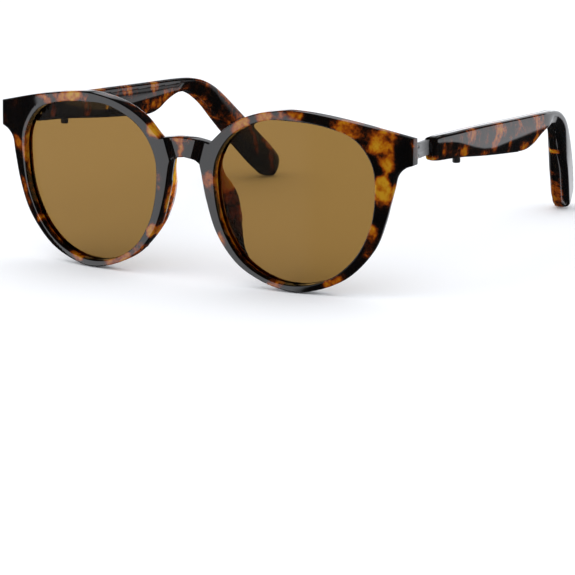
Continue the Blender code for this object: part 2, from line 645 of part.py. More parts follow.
def add_casing(parent, side_name, side):
    """The outer shell and the inner cover, with the openings that the other pieces need."""
    shell = add_piece(f"temple_shell_{side_name}", temple_shell_shape(), "tortoise", parent, side)
    cover = add_piece(f"temple_cover_{side_name}", temple_cover_shape(), "tortoise_inner", parent, side)
    slot = box_shape(*bar_box(GAP))
    combine(shell, "hinge_slot", slot, "DIFFERENCE", side)
    combine(cover, "hinge_slot", slot, "DIFFERENCE", side)
    for number, y in enumerate(LEAF_SCREW_Y, 1):
        hole = cylinder_shape((LEAF_OUTER_X + 0.2, y, leaf_centre()[2]), (1, 0, 0), 0.62, 2.0, sides=12)
        combine(shell, f"screw_hole_{number}", hole, "DIFFERENCE", side)
    button = cylinder_shape((float(temple_x(BUTTON_Y)), BUTTON_Y, BUTTON_BOTTOM + 1.5), (0, 0, 1), BUTTON_R + 0.2,
                            3.4)
    combine(shell, "button_hole", button, "DIFFERENCE", side)
    slot = box_shape((temple_x(GRILLE_Y), GRILLE_Y, GRILLE_Z), (GRILLE_WIDE + 0.4, GRILLE_LONG + 0.4, 3.0))
    combine(shell, "sound_slot", slot, "DIFFERENCE", side)
    mic_y = CHIPS["microphone"][0][0]
    mic = cylinder_shape((temple_x(mic_y), mic_y, 6.2), (0, 0, 1), 0.5, 3.0, sides=12)
    combine(shell, "microphone_hole", mic, "DIFFERENCE", side)
    for name, y in CHARGE_PIN_Y.items():
        hole = cylinder_shape(pin_place(y), (1, 0, 0), CHARGE_PIN_R + 0.15, 4.0, sides=16)
        combine(cover, f"{name}_pin_hole", hole, "DIFFERENCE", side)


def pin_place(y):
    return float(temple_x(y) - half_thickness(y)), y, CHARGE_PIN_Z


def add_board(parent, side_name, side):
    outline = np.array(BOARD, float)
    shape = Shape()
    rings = shape.stack([[(temple_x(y) + d, y, z) for y, z in outline] for d in (BOARD_FROM, BOARD_TO)])
    for ring in rings:
        made, faces = fill(outline)
        shape.cap([ring], made, faces, None)
    add_piece(f"main_board_{side_name}", shape, "board_green", parent, side)
    for name, ((y, z), (long, tall, thick)) in CHIPS.items():
        chip = box_shape((float(temple_x(y)) + BOARD_FROM - 0.15 - thick / 2, y, z), (thick, long, tall),
                         (TEMPLE_SLOPE, 0, 0), 0.12)
        add_piece(f"{name}_{side_name}", chip, "chip_black", parent, side)


def add_button(pivot, parent, side_name, side):
    """The push button and the switch it presses."""
    x = float(temple_x(BUTTON_Y))
    top = FLANGE_Z + FLANGE_THICK
    length = FLANGE_Z + 0.1 - BUTTON_BOTTOM
    post = cylinder_shape((x, BUTTON_Y, BUTTON_BOTTOM + length / 2), (0, 0, 1), BUTTON_R, length, chamfer=0.2)
    button = add_piece(f"button_{side_name}", post, "black_plastic", pivot, side)
    flange = box_shape((x, BUTTON_Y, FLANGE_Z + FLANGE_THICK / 2), (FLANGE_WIDE, FLANGE_LONG, FLANGE_THICK))
    combine(button, "flange", flange, "UNION", side)
    body = box_shape((x - 0.15, BUTTON_Y, top + 1.9), (1.3, 3.2, 2.2), chamfer=0.1)
    switch = add_piece(f"tact_switch_{side_name}", body, "black_plastic", parent, side)
    plunger = box_shape((x - 0.15, BUTTON_Y, top + 0.75), (0.9, 1.4, 0.35))
    combine(switch, "plunger", plunger, "UNION", side)


def add_speaker(parent, side_name, side):
    long, tall, thick = SPEAKER_SIZE
    x = float(temple_x(SPEAKER_Y)) + 0.15
    speaker = box_shape((x, SPEAKER_Y, SPEAKER_Z), (thick, long, tall), (TEMPLE_SLOPE, 0, 0), 0.4)
    add_piece(f"speaker_{side_name}", speaker, "speaker_black", parent, side)
    x = float(temple_x(GRILLE_Y))
    plate = box_shape((x, GRILLE_Y, GRILLE_Z), (GRILLE_WIDE, GRILLE_LONG, GRILLE_THICK))
    grille = add_piece(f"speaker_grille_{side_name}", plate, "black_plastic", parent, side)
    pitch = GRILLE_LONG / GRILLE_HOLES
    for number in range(GRILLE_HOLES):
        y = GRILLE_Y + (number - (GRILLE_HOLES - 1) / 2) * pitch
        hole = cylinder_shape((x, y, GRILLE_Z), (0, 0, 1), 0.45, 2.0, sides=8)
        combine(grille, f"hole_{number + 1}", hole, "DIFFERENCE", side)


def add_power(parent, side_name, side):
    """The cell in the ear tip, its lead to the board, and the charging contacts."""
    x = float(temple_x(BATTERY_Y))
    step = 0.5
    slope_x = float(temple_x(BATTERY_Y + step) - temple_x(BATTERY_Y - step)) / (2 * step)
    battery = cylinder_shape((x + 0.25, BATTERY_Y, BATTERY_Z), (slope_x, 1, PADDLE_SLOPE), BATTERY_R, BATTERY_LONG,
                             chamfer=0.3)
    add_piece(f"battery_{side_name}", battery, "cell_wrap", parent, side)
    add_piece(f"battery_flex_{side_name}", flex_shape(), "flex_amber", parent, side)
    for name, y in CHARGE_PIN_Y.items():
        face_x = pin_place(y)[0] + 0.12
        pin = cylinder_shape((face_x + 1.35, y, CHARGE_PIN_Z), (1, 0, 0), CHARGE_PIN_R, 2.7, 16)
        add_piece(f"charge_pin_{name}_{side_name}", pin, "gold", parent, side)
    x = float(temple_x(MAGNET_Y)) - 0.25
    magnet = cylinder_shape((x, MAGNET_Y, MAGNET_Z), (1, 0, 0), MAGNET_R, 1.3, 20)
    add_piece(f"charge_magnet_{side_name}", magnet, "magnet_nickel", parent, side)


def flex_shape():
    """A thin flat lead that follows the middle of the neck, its width upright."""
    path = even_steps(catmull_rom(FLEX_PATH, False), 2.5, False)
    way = np.gradient(path, axis=0)
    way /= np.linalg.norm(way, axis=1)[:, None]
    across = np.column_stack([-way[:, 1], way[:, 0]]) * 0.8
    shape = Shape()
    rings = []
    for p, a in zip(path, across):
        x = float(temple_x(p[0])) + 0.2
        rings.append([(x + d, *(p + s * a)) for d, s in ((-0.12, -1), (0.12, -1), (0.12, 1), (-0.12, 1))])
    made = shape.stack(rings)
    shape.faces += [tuple(made[0]), tuple(made[-1])]
    return shape


def add_temple(root, side_name, side):
    fold = add_empty(f"{side_name}_fold_axis", (side * PIVOT_X, PIVOT_Y, PIVOT_Z), root)
    press = add_empty(f"{side_name}_button_axis", (side * float(temple_x(BUTTON_Y)), BUTTON_Y, BUTTON_BOTTOM), fold)
    add_temple_hinge(fold, side_name, side)
    add_casing(fold, side_name, side)
    add_board(fold, side_name, side)
    add_button(press, fold, side_name, side)
    add_speaker(fold, side_name, side)
    add_power(fold, side_name, side)


def main():
    for old in list(bpy.data.objects):
        bpy.data.objects.remove(old, do_unlink=True)
    root = add_empty("glasses", (0, 0, 0))
    root.location = ORIGIN * MM
    root.rotation_euler.x = LEAN
    add_front(root)
    for side_name, side in SIDES.items():
        add_temple(root, side_name, side)


main()
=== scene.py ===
"""Looks of the smart audio glasses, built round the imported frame.

Shapes are drawn in the glasses' own frame, in millimetres, for the wearer's left side: +X to the wearer's left,
+Y from the front to the ear tips, +Z up, Y = 0 on the front face at the middle. TO_WORLD takes them to the row
frame.
"""

import json
import math

import bmesh
import bpy
import numpy as np
from mathutils import Matrix, Vector, noise
from mathutils.geometry import delaunay_2d_cdt

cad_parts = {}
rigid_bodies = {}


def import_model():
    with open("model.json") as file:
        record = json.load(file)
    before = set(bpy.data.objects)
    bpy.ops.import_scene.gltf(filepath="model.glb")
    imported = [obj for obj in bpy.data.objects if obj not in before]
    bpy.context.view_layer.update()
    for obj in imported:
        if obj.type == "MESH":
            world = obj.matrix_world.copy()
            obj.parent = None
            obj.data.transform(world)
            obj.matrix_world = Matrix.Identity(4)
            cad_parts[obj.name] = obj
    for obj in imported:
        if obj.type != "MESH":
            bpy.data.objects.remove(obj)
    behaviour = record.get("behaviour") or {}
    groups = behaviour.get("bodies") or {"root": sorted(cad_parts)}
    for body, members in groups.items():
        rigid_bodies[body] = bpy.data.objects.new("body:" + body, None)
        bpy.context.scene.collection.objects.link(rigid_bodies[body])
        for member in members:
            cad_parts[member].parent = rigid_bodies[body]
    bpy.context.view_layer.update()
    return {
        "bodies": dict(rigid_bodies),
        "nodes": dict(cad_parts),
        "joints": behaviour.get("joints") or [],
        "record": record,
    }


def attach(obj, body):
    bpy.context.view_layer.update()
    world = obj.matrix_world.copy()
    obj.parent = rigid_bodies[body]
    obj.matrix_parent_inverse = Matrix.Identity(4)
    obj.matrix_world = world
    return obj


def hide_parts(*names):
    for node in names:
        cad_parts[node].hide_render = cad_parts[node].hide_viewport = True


MM = 0.001
SIDES = {"left": 1, "right": -1}
LEAN = math.radians(0.34)
ORIGIN = Vector((0.0, -73.5, 29.42))
TO_WORLD = Matrix.Translation(ORIGIN * MM) @ Matrix.Rotation(LEAN, 4, "X") @ Matrix.Scale(MM, 4)
TO_GLASSES = TO_WORLD.inverted()

# Front -----------------------------------------------------
# Curvature of the front face, depth of the rim and of the end pieces, and where one passes into the other.
BEND = 0.002793
RIM_DEPTH, END_DEPTH = 4.8, 5.3
END_START, END_FULL = 60.0, 68.0
BRIDGE_TOP = [(0, 14.1), (3.5, 14), (6.5, 13.5), (8.6, 13)]
BROW = [(8.6, 13), (14.5, 18.3), (21.1, 21.9), (29, 24), (38, 24.5), (54.8, 22), (71.6, 18.1)]
END_EDGE = [(71.6, 18.1), (71.6, 10.4)]
RIM_UNDER = [(71.6, 10.4), (68.6, 9.2), (66.5, 6.9), (65.7, 2.4), (63.6, -6.8), (59.7, -15.9), (51.4, -24.5),
             (41, -28.8), (33, -29.2), (24, -26.6), (16.6, -22), (10.6, -14.1), (7.3, -4.5), (5.6, 4), (5, 6.3)]
BRIDGE_ARCH = [(5, 6.3), (3.2, 7.6), (0, 8.15)]
LENS_OPENING = [(61, 2), (60, 10.5), (54.8, 17.4), (46, 20.5), (36, 21.5), (26.5, 21), (16.5, 16.2), (10.9, 8),
                (10.3, -1.5), (12.7, -12), (18.5, -20.9), (27.5, -26.2), (37.4, -27.3), (47.2, -24.3),
                (54.9, -17.5), (59.6, -8)]
LENS_MIDDLE_X = 37.4
FACE_EDGE, OPENING_EDGE = 0.42, 0.3
GROOVE_FROM, GROOVE_TO, GROOVE_CUT = 2.3, 4.0, 1.1
LENS_FROM, LENS_TO, LENS_LAP = 2.5, 3.8, 0.8
# Outer wall: direction from the lens's middle, straight depth, and draw towards the back.
OUTER_WALL = [(-180, 3.0, 1.0), (-120, 3.0, 0.9), (-90, 2.4, 1.0), (-60, 1.5, 1.2), (-30, 1.2, 2.0), (-5, 1.2, 2.5),
              (10, 2.8, 1.4), (18, 4.4, 0.5), (40, 3.4, 0.9), (70, 3.2, 1.0), (90, 2.4, 1.5), (115, 3.4, 0.8),
              (140, 3.6, 0.7), (152, 2.3, 1.4), (180, 2.3, 1.4)]
# The level band next to the lens: direction and width. Outside it the face falls away by TILT towards the temples.
BAND = [(-180, 0.8), (-95, 0.8), (-80, 0.7), (-60, 0.5), (-30, 0.6), (0, 1.0), (20, 1.6), (40, 1.1), (60, 0.6),
        (80, 0.5), (100, 0.8), (180, 0.8)]
TILT = math.tan(math.radians(8.5))
TILT_FADE = [(-180, 0), (-96, 0), (-78, 1), (78, 1), (104, 0), (180, 0)]
# Bridge: edges of the raised middle, of the slopes beside it and of the step back up to the rim.
BRIDGE_LINES = (((4.3, 14.0), (2.4, 7.9)), ((7.1, 13.4), (5.0, 6.4)), ((7.35, 13.4), (5.25, 6.4)))
BRIDGE_LEVELS = (0.44, -0.3, 0.0)
# Nose pads: height against how far the pad stands back from the rim, and how far it leans outwards on the way.
PAD_STATIONS = [(8, 0.2), (7, 0.6), (4.5, 1.3), (2, 2.8), (-1, 5.1), (-4, 6.4), (-7, 6.8), (-11, 6.0), (-15, 4.0),
                (-19, 1.7), (-21, 0.7), (-22, 0.2)]
PAD_FLARE = 0.31

# Temples ---------------------------------------------------
TEMPLE_FRONT_Y = 22.4
TEMPLE_TOP = [(22.4, 13), (22.7, 15.2), (25, 16.1), (40, 15.1), (59, 13.7), (83, 11.6), (102, 10), (112, 8.9),
              (118.5, 6.8), (124.6, 2.6), (133.6, -6.4), (142.4, -15.8), (147.6, -21.5)]
TEMPLE_TIP = [(149.2, -24.8), (147.9, -28.4), (144.9, -30.3)]
TEMPLE_UNDER = [(141.7, -28.2), (131.4, -16.5), (122.4, -6.7), (116.0, 0.2), (110.5, 4.0), (104.4, 4.9), (98.6, 3.5),
                (93.1, 1.3), (86.9, 0.5), (78, 1.45), (60, 3.9), (40, 7.0), (26, 8.7), (22.9, 9.6), (22.4, 11.2)]
TEMPLE_X, TEMPLE_TAPER = 70.05, 0.0154
TIP_CURVE_Y, TIP_CURVE_RATE, TIP_CURVE_REACH = 100.0, 0.58, 60.0
# The paddle behind the bend stands square to its own length: the share of the curve that it is turned by.
PADDLE_TURN, PADDLE_TURN_FROM, PADDLE_TURN_TO = 0.33, 108.0, 122.0
PADDLE_SLOPE, PADDLE_MIDDLE = -1.07, (133.3, -11.8)
HALF_THICKNESS = [(22.4, 2.5), (60, 2.42), (104, 2.42), (112, 2.75), (122, 3.25), (132, 3.4), (150, 3.35)]
WALL = 0.95
# The seam's distance from the inner face, its gap, and the lip that rounds it.
SEAM_AT, SEAM_GAP, SEAM_LIP = 1.6, 0.1, 0.12
# Edge radius as a share of the half thickness, and what the paddle's end adds to it over a stretch of its length.
EDGE_ROUND, OUTER_END_ROUND, INNER_END_ROUND = 0.42, 0.14, 0.46
END_ROUND_FROM, END_ROUND_OVER = 12, 8
WALL_CROWN = 0.16
# The broad faces roll in by CROWN_TOP near the top. Below a crease, given as Y and Z, they slope in. At the bend a
# chin falls away towards the under edge.
CROWN_TOP, CROWN_REACH = 0.22, 3.2
CREASE = [(22.4, 18.6), (30, 16.0), (39.8, 12.6), (47.5, 10.2), (54.5, 8.4), (61.7, 7.3), (100, 7.3), (112, 6.0)]
CREASE_SLOPE, CREASE_SOFT, CREASE_REACH, CREASE_FADE = 0.16, 1.4, 7.6, (98.0, 112.0)
CHIN_REACH, CHIN_DEPTH = 6.0, 1.4
CHIN_STARTS, CHIN_ENDS = (103, 109), (116, 132)

# Small pieces ----------------------------------------------
PIVOT = Vector((67.9, 15.6, 13.2))
KNUCKLE_R, PIN_R, PIN_HOLE_R, BARREL_HEIGHT, KNUCKLE_HEIGHT = 1.8, 0.72, 0.8, 4.6, 1.8
BAR_OUTER_X, BAR_THICK, BAR_HEIGHT, BAR_END_Y = 69.7, 1.6, 4.3, 25.6
BUTTON_Y, BUTTON_R, BUTTON_BOTTOM, FLANGE_Z = 40.3, 1.2, 5.4, 8.5
GRILLE_Y, GRILLE_LONG, GRILLE_WIDE, GRILLE_Z = 86.8, 7.6, 1.6, 1.35
MIC_Y = 49.5
CHARGE_PIN_Y, CHARGE_PIN_Z, CHARGE_PIN_R = {"front": 61.0, "rear": 67.0}, 7.2, 1.0
FIT_GAP = 0.12
# Profiles: distance along the axis against radius.
CHARGE_PIN = [(0.12, 0.8), (0.14, 0.88), (0.22, 0.97), (0.3, CHARGE_PIN_R), (2.6, CHARGE_PIN_R), (2.8, 0.8)]
BUTTON = [(0.0, 0.55), (0.03, 0.85), (0.12, 1.08), (0.28, BUTTON_R), (2.9, BUTTON_R), (3.1, 0.9), (3.55, 0.9)]

# Mottling: middle, reach along both axes, turn in degrees, and tone from 0, black, over 0.45, red brown, and 0.65,
# orange, to 1, yellow. Later patches lie over earlier ones. On the front and the pads the axes are X and Z, on a
# temple Y and Z.
FRONT_PATCHES = [
    (-46, 22.0, 3.5, 1.6, -12, 0.55), (-52.1, 20.8, 3.2, 1.3, -20, 0.68), (-41.1, 23, 4.4, 2.0, 0, 0.98),
    (-35.5, 22.6, 1.0, 1.2, 0, 0.75), (-64.6, 6.0, 2.4, 2.2, 0, 0.64), (-60.0, 4.6, 1.3, 6.0, 0, 0.84),
    (-62.0, -7, 1.6, 3.0, 10, 0.50), (-60.7, -12, 1.7, 4.5, 18, 0.47), (-55.6, -17, 0.9, 1.1, 0, 0.92),
    (-40.7, -26.8, 2.6, 1.8, -25, 0.86), (-24.5, -25.9, 6.0, 2.2, 20, 0.72), (-17, -21.8, 3.4, 2.4, 45, 0.55),
    (-10.6, 16.0, 2.3, 3.4, 38, 0.97), (-14.6, 20.5, 2.0, 0.9, -35, 0.62), (-9.0, -0.2, 1.1, 3.0, 0, 0.52),
    (-12.1, -15.4, 1.7, 2.2, -30, 0.96), (-0.6, 13.2, 3.0, 0.9, 0, 0.74), (-1.0, 10, 0.8, 3.0, 0, 0.88),
    (8.1, 1.8, 1.9, 3.0, 0, 0.82), (19.2, 19.5, 3.4, 2.2, 40, 0.85), (12.0, -15.2, 1.4, 2.6, 20, 0.64),
    (26.8, 22.4, 2.6, 1.8, 10, 0.82), (31.5, 23.2, 1.6, 2.0, 10, 0.55), (36.7, 23.6, 3.0, 1.6, 0, 0.72),
    (53.2, 20.4, 4.6, 2.6, -18, 0.84), (63.4, 16.4, 5.4, 4.6, -10, 0.93), (66.4, 12.8, 1.0, 2.8, 35, 0.52),
    (64.2, 10.6, 2.1, 3.2, 0, 0.80), (63.4, 3.4, 3.1, 4.6, 0, 0.95), (61.2, 0.5, 0.9, 2.4, 25, 0.55),
    (58.6, 15.8, 0.6, 3.4, -8, 0.24), (55.6, 19.4, 0.5, 2.2, 10, 0.48),
    (61.0, 10.2, 1.7, 3.4, 15, 0.02), (65.8, 18.2, 3.0, 1.0, -15, 0.50), (62.6, 13.6, 1.3, 1.1, 0, 0.60),
    (67.5, 16.6, 1.2, 1.6, 0, 0.52), (69.3, 13.2, 2.6, 5.4, 0, 0.02), (72.0, 14.2, 0.4, 3.2, 0, 0.66),
    (63.4, -5.2, 3.0, 2.0, 0, 0.03), (60.2, -9.2, 1.5, 2.6, 20, 0.84), (59.0, -16.8, 0.7, 1.3, 30, 0.66),
    (48.6, -25.2, 3.4, 1.6, 35, 0.58), (46.3, -26.4, 0.8, 1.4, 0, 0.84), (30, -27.6, 2.6, 1.6, 0, 0.72)]
# Painted light on the front's walls, behind its face: extra amber patches that stand in for light shining through
# the acetate.
WALL_GLOW_PATCHES = [
    (-59.5, 3, 2.6, 7.5, 0, 0.86), (-58, -11, 2.2, 4.5, 15, 0.52), (-51, -21, 4.5, 3.0, -40, 0.62),
    (-38, -26.4, 4.0, 2.0, 0, 0.50), (-9.5, -4, 3.0, 7.5, 0, 0.94), (-13, -14, 2.6, 3.0, -30, 0.80),
    (10.8, 5.5, 2.8, 5.5, 0, 0.92), (10.8, -4.5, 2.3, 6.5, 4, 0.80), (14.3, -14.8, 2.6, 6.0, 30, 0.86),
    (23, -23, 5.0, 2.0, -35, 0.62), (-30, 22, 6.0, 2.0, 0, 0.55), (-17, 21, 5.0, 2.4, -35, 0.52),
    (42, 22, 6.0, 2.0, 0, 0.45)]
PAD_PATCHES = [
    (11.5, -8, 3.6, 9.0, 15, 0.40), (13.6, -6.5, 0.9, 4.0, 10, 0.56),
    (6.5, 4.0, 4.5, 4.0, 0, 1.0), (9.5, 2.4, 5.0, 4.4, -20, 0.98), (6.9, -4, 1.3, 6.5, 8, 0.94),
    (8.4, -11, 1.2, 5.5, 20, 0.86), (11.5, -16.5, 2.2, 3.6, 25, 0.74)]
LEFT_PATCHES = [
    (50, 12.4, 17, 4.4, -5, 0.33), (86, 9.4, 15, 4.0, -6, 0.31),
    (22.6, 9.4, 2.2, 1.1, 0, 0.84), (28.5, 12, 1.6, 3.4, 12, 0.50), (32.0, 11, 1.3, 3.0, 12, 0.44),
    (36.5, 9.6, 1.8, 1.8, 12, 0.52), (41.5, 8.6, 2.6, 1.8, -20, 0.78), (47.0, 13.2, 2.6, 2.8, 8, 0.66),
    (43.8, 12.8, 1.0, 2.2, 8, 0.56), (56, 5.4, 2.6, 1.0, 0, 0.70), (66, 10.6, 2.9, 3.8, 6, 0.68),
    (62.4, 6.8, 2.0, 2.4, -25, 0.74), (69.4, 9.6, 1.6, 2.8, 0, 0.56), (73.3, 5.4, 1.2, 3.2, 0, 0.60),
    (80.6, 10.8, 2.2, 2.0, 0, 0.60), (77.7, 8.2, 1.8, 1.8, -30, 0.58), (94.3, 8.4, 2.5, 4.6, 0, 0.66),
    (97.6, 6.8, 1.0, 3.0, 0, 0.58), (85.6, 2.2, 4.0, 1.5, 0, 0.76), (93.6, 3.2, 2.4, 1.8, 0, 0.92),
    (99.5, 5.6, 1.6, 1.2, 0, 0.8), (118.8, 1.6, 2.2, 0.9, 40, 0.56), (124.2, -5.4, 5.2, 1.5, 46, 0.92),
    (133, -14, 5.0, 0.8, 47, 0.50), (138.6, -23.6, 1.9, 6.4, 42, 0.80), (140.5, -25, 1.0, 4.0, 42, 0.60),
    (135.5, -20.6, 0.9, 3.5, 40, 0.50), (145.5, -29.2, 3.2, 1.4, 0, 0.84)]
RIGHT_PATCHES = [
    (84, 9, 22, 4.5, -5, 0.24), (128, -8, 9, 4.0, -47, 0.30),
    (32.2, 11, 1.4, 3.0, 0, 0.56), (50, 8.4, 2.6, 2.4, 0, 0.56), (46.5, 12, 1.0, 2.4, 10, 0.46),
    (58.9, 14, 4.0, 1.0, 0, 0.90), (67.4, 9.2, 1.6, 3.0, 0, 0.48), (74, 11, 1.5, 2.6, 0, 0.76),
    (71.0, 11.2, 1.0, 2.2, 0, 0.66), (89, 10, 2.0, 3.2, 0, 0.76), (84.0, 3.6, 2.6, 2.8, 30, 0.52),
    (90.4, 3.2, 3.4, 2.2, 10, 0.70), (96.4, 4.8, 1.6, 3.0, 0, 0.84), (103.5, 6.0, 4.0, 0.8, 0, 0.52),
    (99.5, 5.6, 1.4, 1.0, 0, 0.50), (114.5, 8.2, 3.2, 1.2, -30, 0.60), (118.5, 5.8, 2.4, 1.6, -40, 0.52),
    (124.4, 1.6, 5.2, 0.9, -47, 0.78), (112.6, 2.6, 1.8, 0.7, -30, 0.66), (117.4, -0.6, 2.8, 1.2, -45, 0.64),
    (121.5, -5.0, 2.2, 0.6, -45, 0.60), (129.5, -4.4, 4.2, 1.4, -47, 0.60), (133.5, -8.6, 3.4, 2.0, -47, 0.60),
    (128.0, -7.5, 1.6, 2.2, -47, 0.50), (137.0, -16.5, 0.9, 4.4, 12, 0.60), (143.2, -18.6, 4.6, 0.9, -46, 0.72),
    (143.5, -24, 0.9, 3.0, 10, 0.58)]
# Seed of the noise, and the ground's tone with what its clouds add and their size.
NOISE_SEED = 1794903014
GROUND_TONE, CLOUD_TONE, CLOUD_SIZE = 0.10, 0.22, 5.0
# Size and reach of the offsets that make the patches' outlines irregular, and how soft the outlines are.
DRIFT, RIPPLE = (3.2, 1.0), (1.1, 0.28)
PATCH_BLUR, PATCH_BLUR_REACH = 2.0, 3.0
# Depth behind the face where the walls' painted light begins, and the depth over which it fades in.
WALL_GLOW_FROM, WALL_GLOW_OVER = 0.4, 0.5
# Where the left paddle's outer face goes dark: share of the half thickness, and Y. Each is a start and a stretch.
DARK_FACE, DARK_PADDLE, DARK_SHARE = (0.2, 0.35), (106, 6), 0.85

# Light and camera ------------------------------------------
# Soft boxes that only the gloss sees: lowest and highest azimuth, lowest and highest elevation, strength, and the
# width of the soft edge, in degrees. Azimuth 0 is -Y and 90 is +X.
SOFT_BOXES = [
    (-60, -17, -40, 12, 2.0, 1.5), (121, 135, -12, 14, 0.7, 4.0), (138, 150, -15.5, -9.8, 1.0, 0.6),
    (138, 150, -8.6, -6.2, 0.7, 0.6), (138, 150, -4.6, 18, 1.1, 0.8), (150, 192, -15.5, 18, 1.15, 0.9),
    (170, 194, -24, -16, 1.0, 1.5), (196, 232, -15, 7.5, 1.2, 1.5), (194, 215, 2, 12, 0.95, 2.0),
    (200, 213, 17, 28, 0.8, 1.5), (-180, -60, -70.6, -68.8, 1.5, 0.6), (238, 275, -30, 20, 1.6, 6.0)]
GLOSS_FLOOR = 0.03
AMBIENT, AMBIENT_COLOUR = 1.12, (0.97, 0.99, 1.03, 1)
FLOOR_HALF_SIZE, FLOOR_LEVEL = 12.0, -0.0003
# The camera's place and aim in the glasses' own frame, its roll and its lens.
CAMERA_AT, CAMERA_AIM = Vector((439.57, -701.53, 178.28)), Vector((34.78, 0.0, -27.637))
CAMERA_ROLL, CAMERA_LENS, CAMERA_SENSOR = math.radians(-0.755), 178.6, 36.0

# Colours ---------------------------------------------------
LENS_COLOUR = (0.276, 0.161, 0.047)
TORTOISE_STOPS = [(0.0, (0.0010, 0.0008, 0.0009)), (0.2, (0.003, 0.0015, 0.0010)), (0.34, (0.022, 0.0045, 0.0010)),
                  (0.48, (0.095, 0.016, 0.0012)), (0.62, (0.22, 0.044, 0.0016)), (0.78, (0.31, 0.100, 0.0024)),
                  (1.0, (0.38, 0.19, 0.008))]


# Curves and loops ------------------------------------------


def catmull_rom(points, closed, steps=16):
    """Dense points on the smooth curve through the given ones."""
    pts = [np.array(p, float) for p in points]
    if closed:
        pts = [pts[-1]] + pts + pts[:2]
    else:
        pts = [2 * pts[0] - pts[1]] + pts + [2 * pts[-1] - pts[-2]]
    curve = []
    for a, b, c, d in zip(pts, pts[1:], pts[2:], pts[3:]):
        for t in np.arange(steps) / steps:
            curve.append(0.5 * (2 * b + (c - a) * t + (2 * a - 5 * b + 4 * c - d) * t ** 2
                                + (3 * b - a - 3 * c + d) * t ** 3))
    if not closed:
        curve.append(pts[-2])
    return np.array(curve)


def even_steps(curve, spacing, closed):
    """Points at even steps of about spacing along a polyline."""
    if closed:
        curve = np.vstack([curve, curve[:1]])
    run = np.concatenate([[0], np.cumsum(np.linalg.norm(np.diff(curve, axis=0), axis=1))])
    count = max(2, round(run[-1] / spacing))
    wanted = np.linspace(0, run[-1], count + 1)
    out = np.column_stack([np.interp(wanted, run, curve[:, k]) for k in range(curve.shape[1])])
    return out[:-1] if closed else out


def smooth_loop(points, spacing):
    return even_steps(catmull_rom(points, True), spacing, True)


def loop_of_runs(runs, spacing):
    return np.vstack([even_steps(catmull_rom(run, False), spacing, False)[:-1] for run in runs])


def inset(loop, distance):
    """The loop moved inwards by distance, a number or one per point; negative moves it outwards."""
    x, y = loop[:, 0], loop[:, 1]
    turn = np.sign(np.sum(x * np.roll(y, -1) - y * np.roll(x, -1)))
    edge = np.roll(loop, -1, axis=0) - loop
    edge /= np.linalg.norm(edge, axis=1)[:, None]
    normal = np.column_stack([-edge[:, 1], edge[:, 0]]) * turn
    before = np.roll(normal, 1, axis=0)
    mitre = (normal + before) / (1 + np.sum(normal * before, axis=1))[:, None]
    return loop + mitre * np.reshape(distance, (-1, 1))


def inside(points, loop):
    """True for each point within the loop."""
    a, b = loop, np.roll(loop, -1, axis=0)
    x, y = points[:, :1], points[:, 1:2]
    crosses = (a[:, 1] > y) != (b[:, 1] > y)
    with np.errstate(divide="ignore", invalid="ignore"):
        left = x < (b[:, 0] - a[:, 0]) * (y - a[:, 1]) / (b[:, 1] - a[:, 1]) + a[:, 0]
    return np.sum(crosses & left, axis=1) % 2 == 1


def distance_to(points, line, closed=True):
    """Shortest distance from each point to a polyline."""
    a = line if closed else line[:-1]
    b = np.roll(line, -1, axis=0) if closed else line[1:]
    best = np.full(len(points), 1e9)
    for start in range(0, len(points), 2000):
        p = points[start:start + 2000, None, :]
        way = b - a
        t = np.clip(np.sum((p - a) * way, axis=2) / np.maximum(np.sum(way * way, axis=1), 1e-12), 0, 1)
        near = a + t[..., None] * way
        best[start:start + 2000] = np.min(np.linalg.norm(p - near, axis=2), axis=1)
    return best


def fill(outer, holes=(), spacing=None, lines=()):
    """Triangles of a flat region: its points, those of the loops first, and the triangles between them."""
    loops = [outer, *holes]
    edges, start = [], 0
    for loop in loops:
        edges += [(start + i, start + (i + 1) % len(loop)) for i in range(len(loop))]
        start += len(loop)
    points = [tuple(p) for loop in loops for p in loop]
    for line in lines:
        edges += [(len(points) + i, len(points) + i + 1) for i in range(len(line) - 1)]
        points += [tuple(p) for p in line]
    if spacing:
        low, high = outer.min(axis=0), outer.max(axis=0)
        rows = np.arange(low[1] + spacing / 2, high[1], spacing * 0.87)
        grid = np.array([(x + spacing / 2 * (k % 2), y) for k, y in enumerate(rows)
                         for x in np.arange(low[0] + spacing / 2, high[0], spacing)])
        keep = inside(grid, outer) & (distance_to(grid, outer) > spacing * 0.45)
        for hole in holes:
            keep &= ~inside(grid, hole) & (distance_to(grid, hole) > spacing * 0.45)
        for line in lines:
            keep &= distance_to(grid, np.array(line), False) > spacing * 0.45
        points += [tuple(p) for p in grid[keep]]
    made, _, faces, _, _, _ = delaunay_2d_cdt([Vector(p) for p in points], edges, [], 0, 1e-6)
    made = np.array([tuple(p) for p in made])
    middles = np.array([made[list(f)].mean(axis=0) for f in faces])
    keep = inside(middles, outer)
    for hole in holes:
        keep &= ~inside(middles, hole)
    return made, [f for f, k in zip(faces, keep) if k]


def smoothstep(t):
    """0 below 0, 1 above 1, with a smooth passage."""
    t = np.clip(t, 0, 1)
    return t * t * (3 - 2 * t)


def quarter(steps):
    """Sine and cosine pairs over a quarter turn, from flat to upright."""
    return [(math.sin(a), math.cos(a)) for a in np.linspace(0, math.pi / 2, steps + 1)]


# Shapes and pieces -----------------------------------------


